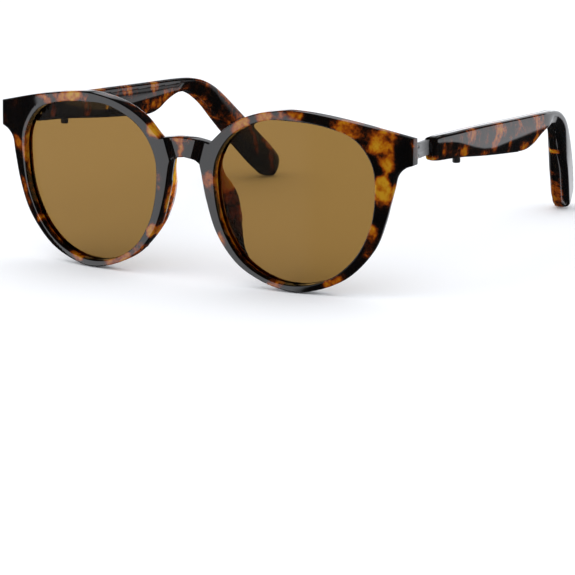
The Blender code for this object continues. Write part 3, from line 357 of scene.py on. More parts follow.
class Shape:
    """Points and faces of one closed piece."""

    def __init__(self):
        self.points, self.faces = [], []

    def ring(self, points):
        first = len(self.points)
        self.points += [tuple(p) for p in points]
        return list(range(first, len(self.points)))

    def bridge(self, a, b):
        for i in range(len(a)):
            j = (i + 1) % len(a)
            self.faces.append((a[i], a[j], b[j], b[i]))

    def stack(self, rings):
        made = [self.ring(r) for r in rings]
        for a, b in zip(made, made[1:]):
            self.bridge(a, b)
        return made

    def ends(self, made):
        self.faces += [tuple(made[0]), tuple(made[-1])]

    def cap(self, rings, made, faces, lift):
        """Faces over a filled region, whose first points are those of the rings, in order."""
        index = [i for ring in rings for i in ring]
        extra = made[len(index):]
        index += self.ring(lift(extra) if len(extra) else [])
        self.faces += [tuple(index[i] for i in f) for f in faces]


def lathe(profile, centre, axis, sides=48):
    """A closed turned shape. profile is distance along the axis against radius."""
    frame = Vector((0, 0, 1)).rotation_difference(Vector(axis)).to_matrix()
    shape = Shape()
    turns = np.linspace(0, 2 * math.pi, sides, endpoint=False)
    rings = [[Vector(centre) + frame @ Vector((r * math.cos(a), r * math.sin(a), z)) for a in turns]
             for z, r in profile]
    shape.ends(shape.stack(rings))
    return shape


def rounded_box(centre, size, radius):
    """A box with rounded edges."""
    bm = bmesh.new()
    bmesh.ops.create_cube(bm, size=1.0, matrix=Matrix.Diagonal((*size, 1.0)))
    bmesh.ops.bevel(bm, geom=bm.edges[:], offset=radius, segments=4, profile=0.5, affect="EDGES")
    bmesh.ops.transform(bm, matrix=Matrix.Translation(centre), verts=bm.verts)
    shape = Shape()
    bm.verts.index_update()
    shape.points = [tuple(v.co) for v in bm.verts]
    shape.faces = [tuple(v.index for v in f.verts) for f in bm.faces]
    bm.free()
    return shape


def new_object(name, shape, side):
    """An object of a shape drawn for the left side, mirrored where side is -1."""
    points = [TO_WORLD @ Vector((side * p[0], p[1], p[2])) for p in shape.points]
    mesh = bpy.data.meshes.new(name)
    mesh.from_pydata(points, [], shape.faces)
    bm = bmesh.new()
    bm.from_mesh(mesh)
    bmesh.ops.recalc_face_normals(bm, faces=bm.faces)
    bm.to_mesh(mesh)
    bm.free()
    piece = bpy.data.objects.new(name, mesh)
    bpy.context.scene.collection.objects.link(piece)
    return piece


def add_piece(name, shape, look, body, slot, side=1, stands_for=(), pattern=None, cuts=(), joins=(), sharp=38):
    """A visible piece: cut and joined with helper shapes, mottled, shaded and fixed to its body."""
    piece = new_object(name, shape, side)
    helpers = []
    for kind, others in (("UNION", joins), ("DIFFERENCE", cuts)):
        for other in others:
            helper = new_object(f"{name}_helper", other, side)
            modifier = piece.modifiers.new("helper", "BOOLEAN")
            modifier.operation, modifier.solver, modifier.object = kind, "EXACT", helper
            helpers.append(helper)
    if helpers:
        bpy.context.view_layer.update()
        whole = bpy.data.meshes.new_from_object(piece.evaluated_get(bpy.context.evaluated_depsgraph_get()))
        piece.modifiers.clear()
        piece.data = whole
        for helper in helpers:
            bpy.data.objects.remove(helper, do_unlink=True)
    mesh = piece.data
    mesh.materials.clear()
    mesh.materials.append(look)
    mesh.shade_smooth()
    mesh.set_sharp_from_angle(angle=math.radians(sharp))
    if pattern:
        points = np.array([tuple(TO_GLASSES @ v.co) for v in mesh.vertices])
        tones = mesh.attributes.new("tone", "FLOAT", "POINT")
        tones.data.foreach_set("value", pattern(points).astype(np.float32))
    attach(piece, body)
    if stands_for:
        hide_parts(*stands_for)


def add_look(node, side_name, shape, look, body, slot, **extras):
    """The visible piece of a CAD node that there is one of on each side."""
    add_piece(f"{node}_look_{side_name}", shape, look, body, slot, SIDES[side_name], [f"{node}_{side_name}"],
              **extras)


# Mottling --------------------------------------------------


def wander(points, size, reach, seed):
    """A smooth random offset for each point."""
    shift = Vector((seed * 7.31, seed * 3.17, seed * 5.93))
    return np.array([tuple(noise.noise_vector(Vector(p) / size + shift)) for p in points]) * reach


def mottled(points, plane, patches, seed):
    """Tone at each point: faint clouds on a dark ground, with the patches over them."""
    moved = points + wander(points, *DRIFT, seed) + wander(points, *RIPPLE, seed + 1)
    cloud = wander(points, CLOUD_SIZE, 1.0, seed + 2)[:, 0]
    tone = GROUND_TONE + CLOUD_TONE * np.clip(cloud + 0.1, 0, 1)
    u, v = moved[:, plane[0]], moved[:, plane[1]]
    for cu, cv, ru, rv, turn, value in patches:
        a = math.radians(turn)
        du, dv = u - cu, v - cv
        along = du * math.cos(a) + dv * math.sin(a)
        across = dv * math.cos(a) - du * math.sin(a)
        far = np.hypot(along / ru, across / rv)
        edge = PATCH_BLUR / min(ru, rv, PATCH_BLUR_REACH)
        share = smoothstep((1 + edge / 2 - far) / edge)
        tone = tone * (1 - share) + value * share
    return tone


def front_pattern(points):
    """The front's mottling, with painted light on the walls behind its face: extra amber that stands in for light
    shining through the acetate.
    """
    behind = smoothstep((points[:, 1] - face_y(points[:, 0]) - WALL_GLOW_FROM) / WALL_GLOW_OVER)
    return (mottled(points, (0, 2), FRONT_PATCHES, 1) * (1 - behind)
            + mottled(points, (0, 2), FRONT_PATCHES + WALL_GLOW_PATCHES, 1) * behind)


def pad_pattern(points):
    """The same mottling on both pads, mirrored."""
    return mottled(np.abs(points) * (1, 0, 0) + points * (0, 1, 1), (0, 2), PAD_PATCHES, 4)


def left_pattern(points):
    """The left temple's mottling, which leaves the paddle's outer face dark."""
    outwards = (points[:, 0] - middle_x(points[:, 1:])) / half_thickness(points[:, 1])
    dark = (smoothstep((outwards - DARK_FACE[0]) / DARK_FACE[1])
            * smoothstep((points[:, 1] - DARK_PADDLE[0]) / DARK_PADDLE[1]))
    return mottled(points, (1, 2), LEFT_PATCHES, 2) * (1 - DARK_SHARE * dark)


def right_pattern(points):
    return mottled(points, (1, 2), RIGHT_PATCHES, 3)


# Materials -------------------------------------------------


class Nodes:
    """A material's or world's node tree, with short ways to add to it."""

    def __init__(self, owner):
        owner.use_nodes = True
        self.tree = owner.node_tree
        self.tree.nodes.clear()

    def add(self, kind, **inputs):
        node = self.tree.nodes.new(kind)
        for key, value in inputs.items():
            if key in ("operation", "data_type", "attribute_name"):
                setattr(node, key, value)
            else:
                self.feed(node, key, value)
        return node

    def feed(self, node, key, value):
        """Sets or links an input, given by its name or, as i and a number, by its place."""
        by_place = key[0] == "i" and key[1:].isdigit()
        socket = node.inputs[int(key[1:]) if by_place else key.replace("_", " ")]
        if isinstance(value, bpy.types.NodeSocket):
            self.tree.links.new(value, socket)
        else:
            socket.default_value = value

    def maths(self, operation, a, b=0.0, c=0.0):
        return self.add("ShaderNodeMath", operation=operation, i0=a, i1=b, i2=c).outputs[0]

    def ramp(self, value, stops):
        node = self.add("ShaderNodeValToRGB", Fac=value)
        elements = node.color_ramp.elements
        while len(elements) < len(stops):
            elements.new(0.5)
        for element, (at, colour) in zip(elements, stops):
            element.position, element.color = at, (*colour, 1.0)
        return node.outputs["Color"]

    def range(self, value, low, high, to_low, to_high, smooth=False):
        node = self.add("ShaderNodeMapRange", Value=value, From_Min=low, From_Max=high,
                        To_Min=to_low, To_Max=to_high)
        node.interpolation_type = "SMOOTHSTEP" if smooth else "LINEAR"
        return node.outputs[0]

    def noise(self, scale, detail=2.0, stretch=(1, 1, 1)):
        """Noise in the object's own coordinates, with features about 1 / scale metres across."""
        where = self.add("ShaderNodeTexCoord").outputs["Object"]
        where = self.add("ShaderNodeMapping", Vector=where, Scale=stretch).outputs[0]
        return self.add("ShaderNodeTexNoise", Vector=where, Scale=scale, Detail=detail).outputs["Fac"]

    def bump(self, height, strength, distance):
        return self.add("ShaderNodeBump", Strength=strength, Distance=distance, Height=height).outputs[0]


def finish_material(nodes, **inputs):
    shader = nodes.add("ShaderNodeBsdfPrincipled", **inputs)
    out = nodes.add("ShaderNodeOutputMaterial")
    nodes.tree.links.new(shader.outputs[0], out.inputs["Surface"])


def tortoise_material(name, clear=1.0):
    """Polished mottled acetate: the tone of each point with finer clouds in it. clear lightens the amber; above 1 it
    is painted light, for pieces that stand in shade.
    """
    material = bpy.data.materials.new(name)
    nodes = Nodes(material)
    tone = nodes.add("ShaderNodeAttribute", attribute_name="tone").outputs["Fac"]
    broad = nodes.range(nodes.noise(330), 0.34, 0.66, -0.21, 0.15)
    fine = nodes.range(nodes.noise(950), 0.34, 0.66, -0.13, 0.08)
    lively = nodes.range(tone, 0.05, 0.5, 0.25, 1.0)
    cloud = nodes.maths("MULTIPLY", nodes.maths("ADD", broad, fine), lively)
    stops = [(at, tuple(min(c * clear, 0.9) for c in colour)) for at, colour in TORTOISE_STOPS]
    colour = nodes.ramp(nodes.maths("ADD", tone, cloud), stops)
    gloss = nodes.range(nodes.noise(180), 0.3, 0.7, 0.04, 0.07)
    ripple = nodes.bump(nodes.noise(90, 1.0), 0.05, 0.0004)
    finish_material(nodes, Base_Color=colour, Roughness=gloss, Normal=ripple, IOR=1.5,
                    Subsurface_Weight=0.35, Subsurface_Radius=(1.0, 0.42, 0.15), Subsurface_Scale=0.0015)
    return material


def lens_material():
    """Flat brown tint that the light passes through, with a faint coating."""
    material = bpy.data.materials.new("lens_tint")
    nodes = Nodes(material)
    cloud = nodes.range(nodes.noise(40, 1.0), 0.3, 0.7, 0.0, 1.0)
    colour = nodes.ramp(cloud, [(0.0, LENS_COLOUR), (1.0, tuple(c * 1.015 for c in LENS_COLOUR))])
    shader = nodes.add("ShaderNodeBsdfPrincipled", Base_Color=colour, Roughness=0.0, IOR=1.12,
                       Transmission_Weight=1.0)
    shade = nodes.add("ShaderNodeBsdfTransparent", Color=(*(c ** 0.5 for c in LENS_COLOUR), 1.0))
    shadow = nodes.add("ShaderNodeLightPath").outputs["Is Shadow Ray"]
    mix = nodes.add("ShaderNodeMixShader", Fac=shadow, i1=shader.outputs[0], i2=shade.outputs[0])
    out = nodes.add("ShaderNodeOutputMaterial")
    nodes.tree.links.new(mix.outputs[0], out.inputs["Surface"])
    return material


def plain_material(name, colour, roughness, metallic, grain, spread, relief, stretch=(1, 1, 1)):
    """A surface with fine grain in its colour, gloss and relief."""
    material = bpy.data.materials.new(name)
    nodes = Nodes(material)
    fine = nodes.noise(grain, 3.0, stretch)
    dark, light = (tuple(c * k for c in colour) for k in (1 - spread, 1 + spread))
    tint = nodes.ramp(nodes.range(fine, 0.3, 0.7, 0, 1), [(0.0, dark), (1.0, light)])
    gloss = nodes.range(nodes.noise(grain / 3, 2.0, stretch), 0.3, 0.7, roughness * 0.8, roughness * 1.2)
    finish_material(nodes, Base_Color=tint, Roughness=gloss, Metallic=metallic,
                    Normal=nodes.bump(fine, relief, 0.00005))
    return material


def board_material():
    """Green solder mask with lighter tracks."""
    material = bpy.data.materials.new("board_mask")
    nodes = Nodes(material)
    where = nodes.add("ShaderNodeTexCoord").outputs["Object"]
    cells = nodes.add("ShaderNodeTexVoronoi", Vector=where, Scale=900.0)
    cells.distance = "MANHATTAN"
    tracks = nodes.range(cells.outputs["Distance"], 0.35, 0.45, 0.0, 1.0)
    colour = nodes.ramp(tracks, [(0.0, (0.012, 0.07, 0.03)), (1.0, (0.03, 0.16, 0.07))])
    finish_material(nodes, Base_Color=colour, Roughness=0.35, Normal=nodes.bump(tracks, 0.3, 0.00003))
    return material


# Front -----------------------------------------------------


def face_y(x):
    """The front face's level curve, bent towards the temples."""
    return BEND * x * x / 2 * (1 + (BEND * x) ** 2 / 4)


def bridge_rise(p):
    """How far the face stands forward on the bridge, with the slopes and the small step beside them."""
    x, z = np.abs(p[:, 0]), p[:, 1]
    edges = [low_x + (top_x - low_x) * (z - low_z) / (top_z - low_z)
             for (top_x, top_z), (low_x, low_z) in BRIDGE_LINES]
    rise = np.where(x < edges[0], BRIDGE_LEVELS[0], 0.0)
    for k in (0, 1):
        share = (x - edges[k]) / (edges[k + 1] - edges[k])
        between = BRIDGE_LEVELS[k] + (BRIDGE_LEVELS[k + 1] - BRIDGE_LEVELS[k]) * share
        rise = np.where((share >= 0) & (share < 1), between, rise)
    return np.where(z > 5, rise, 0.0)


def around_lens(p, table):
    """A table of values by direction from the lens's middle, read at each point."""
    turn = np.degrees(np.arctan2(p[:, 1], np.abs(p[:, 0]) - LENS_MIDDLE_X))
    angle, *values = zip(*table)
    found = [np.interp(turn, angle, v) for v in values]
    return found if len(found) > 1 else found[0]


def depth_at(x):
    share = smoothstep((np.abs(x) - END_START) / (END_FULL - END_START))
    return RIM_DEPTH + (END_DEPTH - RIM_DEPTH) * share


def laid(p, level):
    """Points of the front at a depth behind its face."""
    return np.column_stack([p[:, 0], face_y(p[:, 0]) + level, p[:, 1]])


def front_outline(spacing):
    half = loop_of_runs([BRIDGE_TOP, BROW, END_EDGE, RIM_UNDER, BRIDGE_ARCH], spacing)
    half = np.vstack([half, BRIDGE_ARCH[-1:]])
    back = half[::-1] * (-1, 1)
    return np.vstack([half, back[np.abs(back[:, 0]) > 1e-6]])


def shorten(line, by):
    """Points along a line that stops short of both its ends."""
    a, b = (np.array(p, float) for p in line)
    way = (b - a) / np.linalg.norm(b - a)
    steps = np.linspace(by, np.linalg.norm(b - a) - by, 9)
    return [tuple(a + way * s) for s in steps]


def front_frame_shape():
    """The whole front: face, rounded outer wall, back, and both openings with their lens grooves."""
    shape = Shape()
    outer = front_outline(0.62)
    openings = [smooth_loop(LENS_OPENING, 0.62) * (side, 1) for side in SIDES.values()]
    bands = [inset(loop, -around_lens(loop, BAND)) for loop in openings]
    straight, drawn_in = around_lens(outer, OUTER_WALL)

    def lift(p):
        """Level of the front face: the bridge stands proud and the ends fall away."""
        level = -bridge_rise(p)
        for band in bands:
            same = np.sign(p[:, 0]) == np.sign(band[0, 0])
            away = np.where(inside(p, band), 0.0, distance_to(p, band))
            level = level + np.where(same, away * TILT * around_lens(p, TILT_FADE), 0.0)
        return level

    edge, lip = FACE_EDGE, OPENING_EDGE
    rings = []
    for sine, cosine in quarter(8):
        p = inset(outer, edge * (1 - sine))
        rings.append(laid(p, lift(p) + edge * (1 - cosine)))
    straight = np.maximum(straight, lift(outer) + edge + 0.3)
    back = depth_at(outer[:, 0])
    for sine, cosine in quarter(9):
        p = inset(outer, drawn_in * (1 - cosine))
        rings.append(laid(p, straight + (back - straight) * sine))
    outer_rings = shape.stack(rings)
    inner_rings = []
    for loop, band in zip(openings, bands):
        rings = [laid(band, lift(band))]
        for sine, cosine in quarter(8):
            rings.append(laid(inset(loop, -lip * (1 - sine)), lip * (1 - cosine)))
        rings += [laid(inset(loop, move), level) for move, level in (
            (0, GROOVE_FROM), (-GROOVE_CUT, GROOVE_FROM), (-GROOVE_CUT, GROOVE_TO), (0, GROOVE_TO))]
        for sine, cosine in quarter(3):
            rings.append(laid(inset(loop, -lip * (1 - cosine)), RIM_DEPTH - lip + lip * sine))
        inner_rings.append(shape.stack(rings))
    lines = [[(s * x, z) for x, z in shorten(line, 0.7)] for s in (1, -1) for line in BRIDGE_LINES]
    made, faces = fill(inset(outer, edge), bands, 0.75, lines)
    shape.cap([outer_rings[0]] + [r[0] for r in inner_rings], made, faces, lambda p: laid(p, lift(p)))
    made, faces = fill(inset(outer, drawn_in), [inset(loop, -lip) for loop in openings], 0.9)
    back_rings = [outer_rings[-1]] + [r[-1] for r in inner_rings]
    shape.cap(back_rings, made, faces, lambda p: laid(p, depth_at(p[:, 0])))
    return shape


def lens_shape():
    """A thin plate, bent like the front, whose rim sits in the groove."""
    shape = Shape()
    edge = inset(smooth_loop(LENS_OPENING, 0.9), -LENS_LAP)
    soft = 0.22
    rings = [laid(inset(edge, soft * (1 - s)), LENS_FROM + soft * (1 - c)) for s, c in quarter(3)]
    rings += [laid(inset(edge, soft * (1 - c)), LENS_TO - soft + soft * s) for s, c in quarter(3)]
    made_rings = shape.stack(rings)
    for ring, level in ((made_rings[0], LENS_FROM), (made_rings[-1], LENS_TO)):
        made, faces = fill(inset(edge, soft), spacing=1.6)
        shape.cap([ring], made, faces, lambda p, level=level: laid(p, level))
    return shape


def crossing_x(loop, z, low, high):
    """The lowest X between low and high where a loop crosses a height."""
    a, b = loop, np.roll(loop, -1, axis=0)
    found = [p[0] + (q[0] - p[0]) * (z - p[1]) / (q[1] - p[1])
             for p, q in zip(a, b) if (p[1] - z) * (q[1] - z) <= 0 and p[1] != q[1]]
    return min((x for x in found if low < x < high), default=low)


def nose_pad_shape():
    """A pad that grows out of the rim's back beside the nose and leans outwards as it stands back."""
    shape = Shape()
    nose_side = smooth_loop(RIM_UNDER[6:] + [(4.6, 12), (40, 12)], 0.4)
    lens_side = smooth_loop(LENS_OPENING, 0.4)
    stations = even_steps(catmull_rom(PAD_STATIONS, False), 0.55, False)
    ends = []
    for z, reach in stations:
        near = crossing_x(nose_side, min(z, 6), 4.4, 30) + 0.62
        far = crossing_x(lens_side, z, 9, 30) - 0.55
        ends.append((near, far, z, reach))
    ends = np.array(ends)
    kernel = np.ones(5) / 5
    for column in (0, 1):
        padded = np.pad(ends[:, column], 2, mode="edge")
        ends[:, column] = np.convolve(padded, kernel, "valid")
    rings = []
    for near, far, z, reach in ends:
        rest = face_y((near + far) / 2) + RIM_DEPTH - 0.15
        lean = PAD_FLARE * reach
        section = [(near, 0), (near + 0.02 * reach, 0.35), (near + lean * 0.42, 0.72), (near + lean, 0.93),
                   (near + lean + 0.35 * (far - near), 1), (far + lean - 0.25 * (far - near), 0.99),
                   (far + lean, 0.9), (far + lean * 0.85, 0.68), (far + lean * 0.4, 0.33), (far, 0)]
        curve = even_steps(catmull_rom(section, False, 8), 0.45 * max(0.3, min(1, reach / 4)), False)
        curve = curve[np.linspace(0, len(curve) - 1, 30).round().astype(int)]
        rings.append([(x, rest + (reach + 0.15) * share, z) for x, share in curve])
    shape.ends(shape.stack(rings))
    return shape


# Temples ---------------------------------------------------


def temple_x(y):
    """The middle of the thickness along the temple, drawn in behind the bend."""
    past = np.maximum(y - TIP_CURVE_Y, 0)
    drawn_in = TIP_CURVE_RATE * past ** 2 / (past + TIP_CURVE_REACH)
    return TEMPLE_X - TEMPLE_TAPER * (y - TEMPLE_FRONT_Y) - drawn_in


def half_thickness(y):
    at, half = zip(*HALF_THICKNESS)
    return np.interp(y, at, half)


def middle_x(p):
    """The middle of the thickness at a point of the outline, with the paddle turned outwards at its top."""
    y, z = p[:, 0], p[:, 1]
    past = np.maximum(y - TIP_CURVE_Y, 0)
    bend = TIP_CURVE_RATE * past * (past + 2 * TIP_CURVE_REACH) / (past + TIP_CURVE_REACH) ** 2
    share = smoothstep((y - PADDLE_TURN_FROM) / (PADDLE_TURN_TO - PADDLE_TURN_FROM))
    above = z - PADDLE_MIDDLE[1] - PADDLE_SLOPE * (y - PADDLE_MIDDLE[0])
    return temple_x(y) + PADDLE_TURN * bend * above * share


def crown(p):
    """How far the broad faces fall back near the top, below the crease and at the chin."""
    y, z = p[:, 0], p[:, 1]
    near_top = np.clip(1 - distance_to(p, catmull_rom(TEMPLE_TOP[2:], False), False) / CROWN_REACH, 0, 1)
    below = np.clip(np.interp(y, *zip(*CREASE)) - z, 0, CREASE_REACH)
    fade = 1 - smoothstep((y - CREASE_FADE[0]) / (CREASE_FADE[1] - CREASE_FADE[0]))
    crease = CREASE_SLOPE * (np.hypot(below, CREASE_SOFT) - CREASE_SOFT) * fade
    near_under = np.clip(1 - distance_to(p, catmull_rom(TEMPLE_UNDER[:6], False), False) / CHIN_REACH, 0, 1)
    begun, gone = (smoothstep((y - start) / (end - start)) for start, end in (CHIN_STARTS, CHIN_ENDS))
    chin = CHIN_DEPTH * near_under ** 2 * begun * (1 - gone)
    return CROWN_TOP * near_top ** 2 + crease + chin


def broad_face(p, share, drop):
    """Points on the outer (share 1) or inner (share -1) broad face, less a drop towards the middle."""
    return np.column_stack([middle_x(p) + share * (half_thickness(p[:, 0]) - crown(p) - drop), p])


def at_seam(p, offset):
    """Points at an offset outwards from the plane between shell and cover."""
    return np.column_stack([middle_x(p) - half_thickness(p[:, 0]) + SEAM_AT + offset, p])


def edge_radius(loop, share):
    """Radius of the casing's edges, which grows towards the paddle's end."""
    y, z = loop[:, 0], loop[:, 1]
    along = (y - PADDLE_MIDDLE[0] + PADDLE_SLOPE * (z - PADDLE_MIDDLE[1])) / math.hypot(1, PADDLE_SLOPE)
    end_round = OUTER_END_ROUND if share > 0 else INNER_END_ROUND
    near_end = smoothstep((along - END_ROUND_FROM) / END_ROUND_OVER)
    return half_thickness(y) * (EDGE_ROUND + end_round * near_end)


def half_casing(share):
    """One casing part: rounded broad face, slightly crowned wall down to the seam, and the hollow inside."""
    loop = smooth_loop(TEMPLE_TOP + TEMPLE_TIP + TEMPLE_UNDER, 0.7)
    radius = edge_radius(loop, share)
    half = half_thickness(loop[:, 0])
    flat_half = half - radius
    rings = []
    for sine, cosine in quarter(7):
        p = inset(loop, WALL_CROWN + (radius - WALL_CROWN) * (1 - sine))
        rings.append(broad_face(p, share, radius * (1 - cosine)))
    lip, gap = SEAM_LIP, SEAM_GAP / 2 * share
    seam = SEAM_AT - half + gap
    for t in (0.25, 0.5, 0.75, 1.0):
        level = share * flat_half * (1 - t) + (seam + share * lip) * t
        p = inset(loop, WALL_CROWN * np.minimum((level / flat_half) ** 2, 1))
        rings.append(np.column_stack([middle_x(p) + level, p]))
    rim = inset(loop, WALL_CROWN * np.minimum((seam / flat_half) ** 2, 1) + lip)
    rings.append(at_seam(rim, gap))
    hollow = inset(loop, WALL)
    if share > 0:
        rings.append(at_seam(hollow, gap))
        rings.append(np.column_stack([middle_x(hollow) + half_thickness(hollow[:, 0]) - 2 * WALL, hollow]))
    shape = Shape()
    made_rings = shape.stack(rings)
    made, faces = fill(inset(loop, radius), spacing=0.8)
    shape.cap([made_rings[0]], made, faces, lambda p: broad_face(p, share, 0.0))
    made, faces = fill(hollow if share > 0 else rim)
    shape.cap([made_rings[-1]], made, faces, lambda p: at_seam(p, gap))
    return shape


def add_temple(side_name, looks):
    body = f"{side_name}_temple"
    add_casing(side_name, looks["tortoise"], body)
    add_temple_hinge(side_name, looks["metal"], body)
    for name, y in CHARGE_PIN_Y.items():
        add_look(f"charge_pin_{name}", side_name, lathe(CHARGE_PIN, pin_place(y), (1, 0, 0)), looks["gold"], body,
                 "gold_contact")
    add_look("speaker_grille", side_name, grille_shape(), looks["black"], body, "grille_plastic")
    add_button(side_name, looks["black"])


def add_casing(side_name, look, body):
    """Shell and cover, with the holes for the hinge bar, button, microphone, speaker and charge pins."""
    pattern = left_pattern if side_name == "left" else right_pattern
    bar = hinge_bar(0.5, 0.3)
    button_hole = lathe([(-2.5, BUTTON_R + FIT_GAP), (2.5, BUTTON_R + FIT_GAP)],
                        (float(temple_x(BUTTON_Y)), BUTTON_Y, 7.2), (0, 0, 1))
    mic_hole = lathe([(-1.5, 0.45), (1.5, 0.45)], (float(temple_x(MIC_Y)), MIC_Y, 6.2), (0, 0, 1), 24)
    sound_slot = rounded_box((float(temple_x(GRILLE_Y)), GRILLE_Y, GRILLE_Z),
                             (GRILLE_WIDE + 0.3, GRILLE_LONG + 0.3, 3.0), (GRILLE_WIDE + 0.3) * 0.24)
    add_look("temple_shell", side_name, half_casing(1), look, body, "tortoise_temple", pattern=pattern,
             cuts=[bar, button_hole, mic_hole, sound_slot])
    pin_holes = [lathe([(-2, CHARGE_PIN_R + FIT_GAP), (2, CHARGE_PIN_R + FIT_GAP)], pin_place(y), (1, 0, 0), 32)
                 for y in CHARGE_PIN_Y.values()]
    add_look("temple_cover", side_name, half_casing(-1), look, body, "tortoise_temple", pattern=pattern,
             cuts=[bar, *pin_holes])


def add_button(side_name, look):
    """A round post with a soft end, on a flange that keeps it in the temple."""
    x = float(temple_x(BUTTON_Y))
    flange = rounded_box((x, BUTTON_Y, FLANGE_Z + 0.3), (2.3, 4.4, 0.6), 0.15)
    add_look("button", side_name, lathe(BUTTON, (x, BUTTON_Y, BUTTON_BOTTOM), (0, 0, 1)), look,
             f"{side_name}_button", "button_plastic", joins=[flange])


def pin_place(y):
    """Where a charge pin stands on the inner face."""
    return float(temple_x(y) - half_thickness(y)), y, CHARGE_PIN_Z


def grille_shape():
    """A thin rounded plate with a row of small holes."""
    half_l, half_w, thick = GRILLE_LONG / 2, GRILLE_WIDE / 2, 0.4
    turns = np.linspace(0, 2 * math.pi, 40, endpoint=False)
    outer = np.column_stack([half_w * np.sign(np.cos(turns)) * np.abs(np.cos(turns)) ** 0.5,
                             GRILLE_Y + half_l * np.sign(np.sin(turns)) * np.abs(np.sin(turns)) ** 0.3])
    holes = [np.column_stack([0.36 * np.cos(turns[::2]), GRILLE_Y + k * 1.45 + 0.36 * np.sin(turns[::2])])
             for k in (-2, -1, 0, 1, 2)]
    shape = Shape()
    x = float(temple_x(GRILLE_Y))

    def at(p, z):
        return np.column_stack([p[:, 0] + x, p[:, 1], np.full(len(p), GRILLE_Z + z)])

    rings = [shape.stack([at(inset(loop, move), z) for move, z in
                          ((sign * 0.08, -thick / 2), (0, -thick / 2 + 0.08), (0, thick / 2))])
             for loop, sign in [(outer, 1)] + [(h, -1) for h in holes]]
    for end, move in ((0, 0.08), (-1, 0.0)):
        made, faces = fill(inset(outer, move), [inset(h, -move) for h in holes])
        shape.cap([r[end] for r in rings], made, faces, None)
    return shape


# Hinge -----------------------------------------------------


def barrel(low, high, radius):
    """A knuckle between two heights, with softened rims."""
    soft = 0.14
    return lathe([(low, radius - soft), (low + soft * 0.3, radius - soft * 0.3), (low + soft, radius),
                  (high - soft, radius), (high - soft * 0.3, radius - soft * 0.3), (high, radius - soft)],
                 PIVOT, (0, 0, 1), 64)


def hinge_bar(grow, radius):
    """The temple's bar, or with grow the slot that it sits in."""
    return rounded_box((BAR_OUTER_X - BAR_THICK / 2, (PIVOT.y + BAR_END_Y) / 2, PIVOT.z),
                       (BAR_THICK + grow, BAR_END_Y - PIVOT.y + grow, BAR_HEIGHT + grow), radius)


def pin_hole():
    return lathe([(-4, PIN_HOLE_R), (4, PIN_HOLE_R)], PIVOT, (0, 0, 1), 32)


def add_front_hinge(side_name, look):
    """The leaf on the end piece with its two outer knuckles."""
    back = float(face_y(PIVOT.x)) + END_DEPTH
    leaf = rounded_box((PIVOT.x - 1.0, back - 0.4, PIVOT.z), (5.2, 1.4, BARREL_HEIGHT + 0.4), 0.22)
    cheek = (BARREL_HEIGHT - KNUCKLE_HEIGHT) / 2 - 0.12
    top = BARREL_HEIGHT / 2
    joins = []
    for sign in (1, -1):
        low, high = sorted((sign * top, sign * (top - cheek)))
        joins.append(barrel(low, high, KNUCKLE_R))
        arm_y = PIVOT.y - back + 0.3
        joins.append(rounded_box((PIVOT.x, back + arm_y / 2 - 0.2, PIVOT.z + (low + high) / 2),
                                 (2.4, arm_y, cheek), 0.14))
    add_look("front_hinge", side_name, leaf, look, "front", "hinge_metal", joins=joins, cuts=[pin_hole()])


def add_hinge_screw(side_name, look):
    """The pivot screw, with a domed slotted head."""
    head = BARREL_HEIGHT / 2
    screw = lathe([(-head - 0.05, 0.5), (-head + 0.1, PIN_R), (head + 0.08, PIN_R), (head + 0.1, 1.22),
                   (head + 0.16, 1.3), (head + 0.34, 1.3), (head + 0.52, 1.16), (head + 0.66, 0.9),
                   (head + 0.74, 0.5)], PIVOT, (0, 0, 1))
    driver = rounded_box((PIVOT.x, PIVOT.y, PIVOT.z + head + 0.75), (3.4, 0.36, 0.7), 0.05)
    add_look("hinge_screw", side_name, screw, look, "front", "hinge_metal", cuts=[driver])


def add_temple_hinge(side_name, look, body):
    """The bar with its leaf in the temple, cut away round the front's knuckles, and its own middle knuckle."""
    gap = KNUCKLE_HEIGHT / 2
    reliefs = [lathe([(sign * gap, KNUCKLE_R + 0.28), (sign * 2.8, KNUCKLE_R + 0.28)], PIVOT, (0, 0, 1), 64)
               for sign in (1, -1)]
    leaf = rounded_box((70.0, 29.3, PIVOT.z - 0.9), (1.2, 9.4, 3.0), 0.15)
    add_look("temple_hinge", side_name, hinge_bar(0.0, 0.2), look, body, "hinge_metal", joins=[leaf],
             cuts=reliefs)
    add_piece(f"temple_knuckle_look_{side_name}", barrel(-gap, gap, KNUCKLE_R), look, body, "hinge_metal",
              SIDES[side_name], cuts=[pin_hole()])


# Scene -----------------------------------------------------


def soft_box_light(nodes, azimuth, elevation):
    """Sum of the soft boxes in a direction."""
    total = GLOSS_FLOOR
    for low_a, high_a, low_e, high_e, strength, soft in SOFT_BOXES:
        middle = (low_a + high_a) / 2
        away = nodes.maths("WRAP", nodes.maths("SUBTRACT", azimuth, middle), 180.0, -180.0)
        away = nodes.maths("ABSOLUTE", away)
        half = (high_a - low_a) / 2
        share = nodes.range(away, half - soft, half + soft, strength, 0.0, True)
        up = nodes.range(elevation, low_e - soft, low_e + soft, 0.0, 1.0, True)
        down = nodes.range(elevation, high_e - soft, high_e + soft, 1.0, 0.0, True)
        part = nodes.maths("MULTIPLY", share, nodes.maths("MULTIPLY", up, down))
        total = nodes.maths("ADD", part, total)
    return total


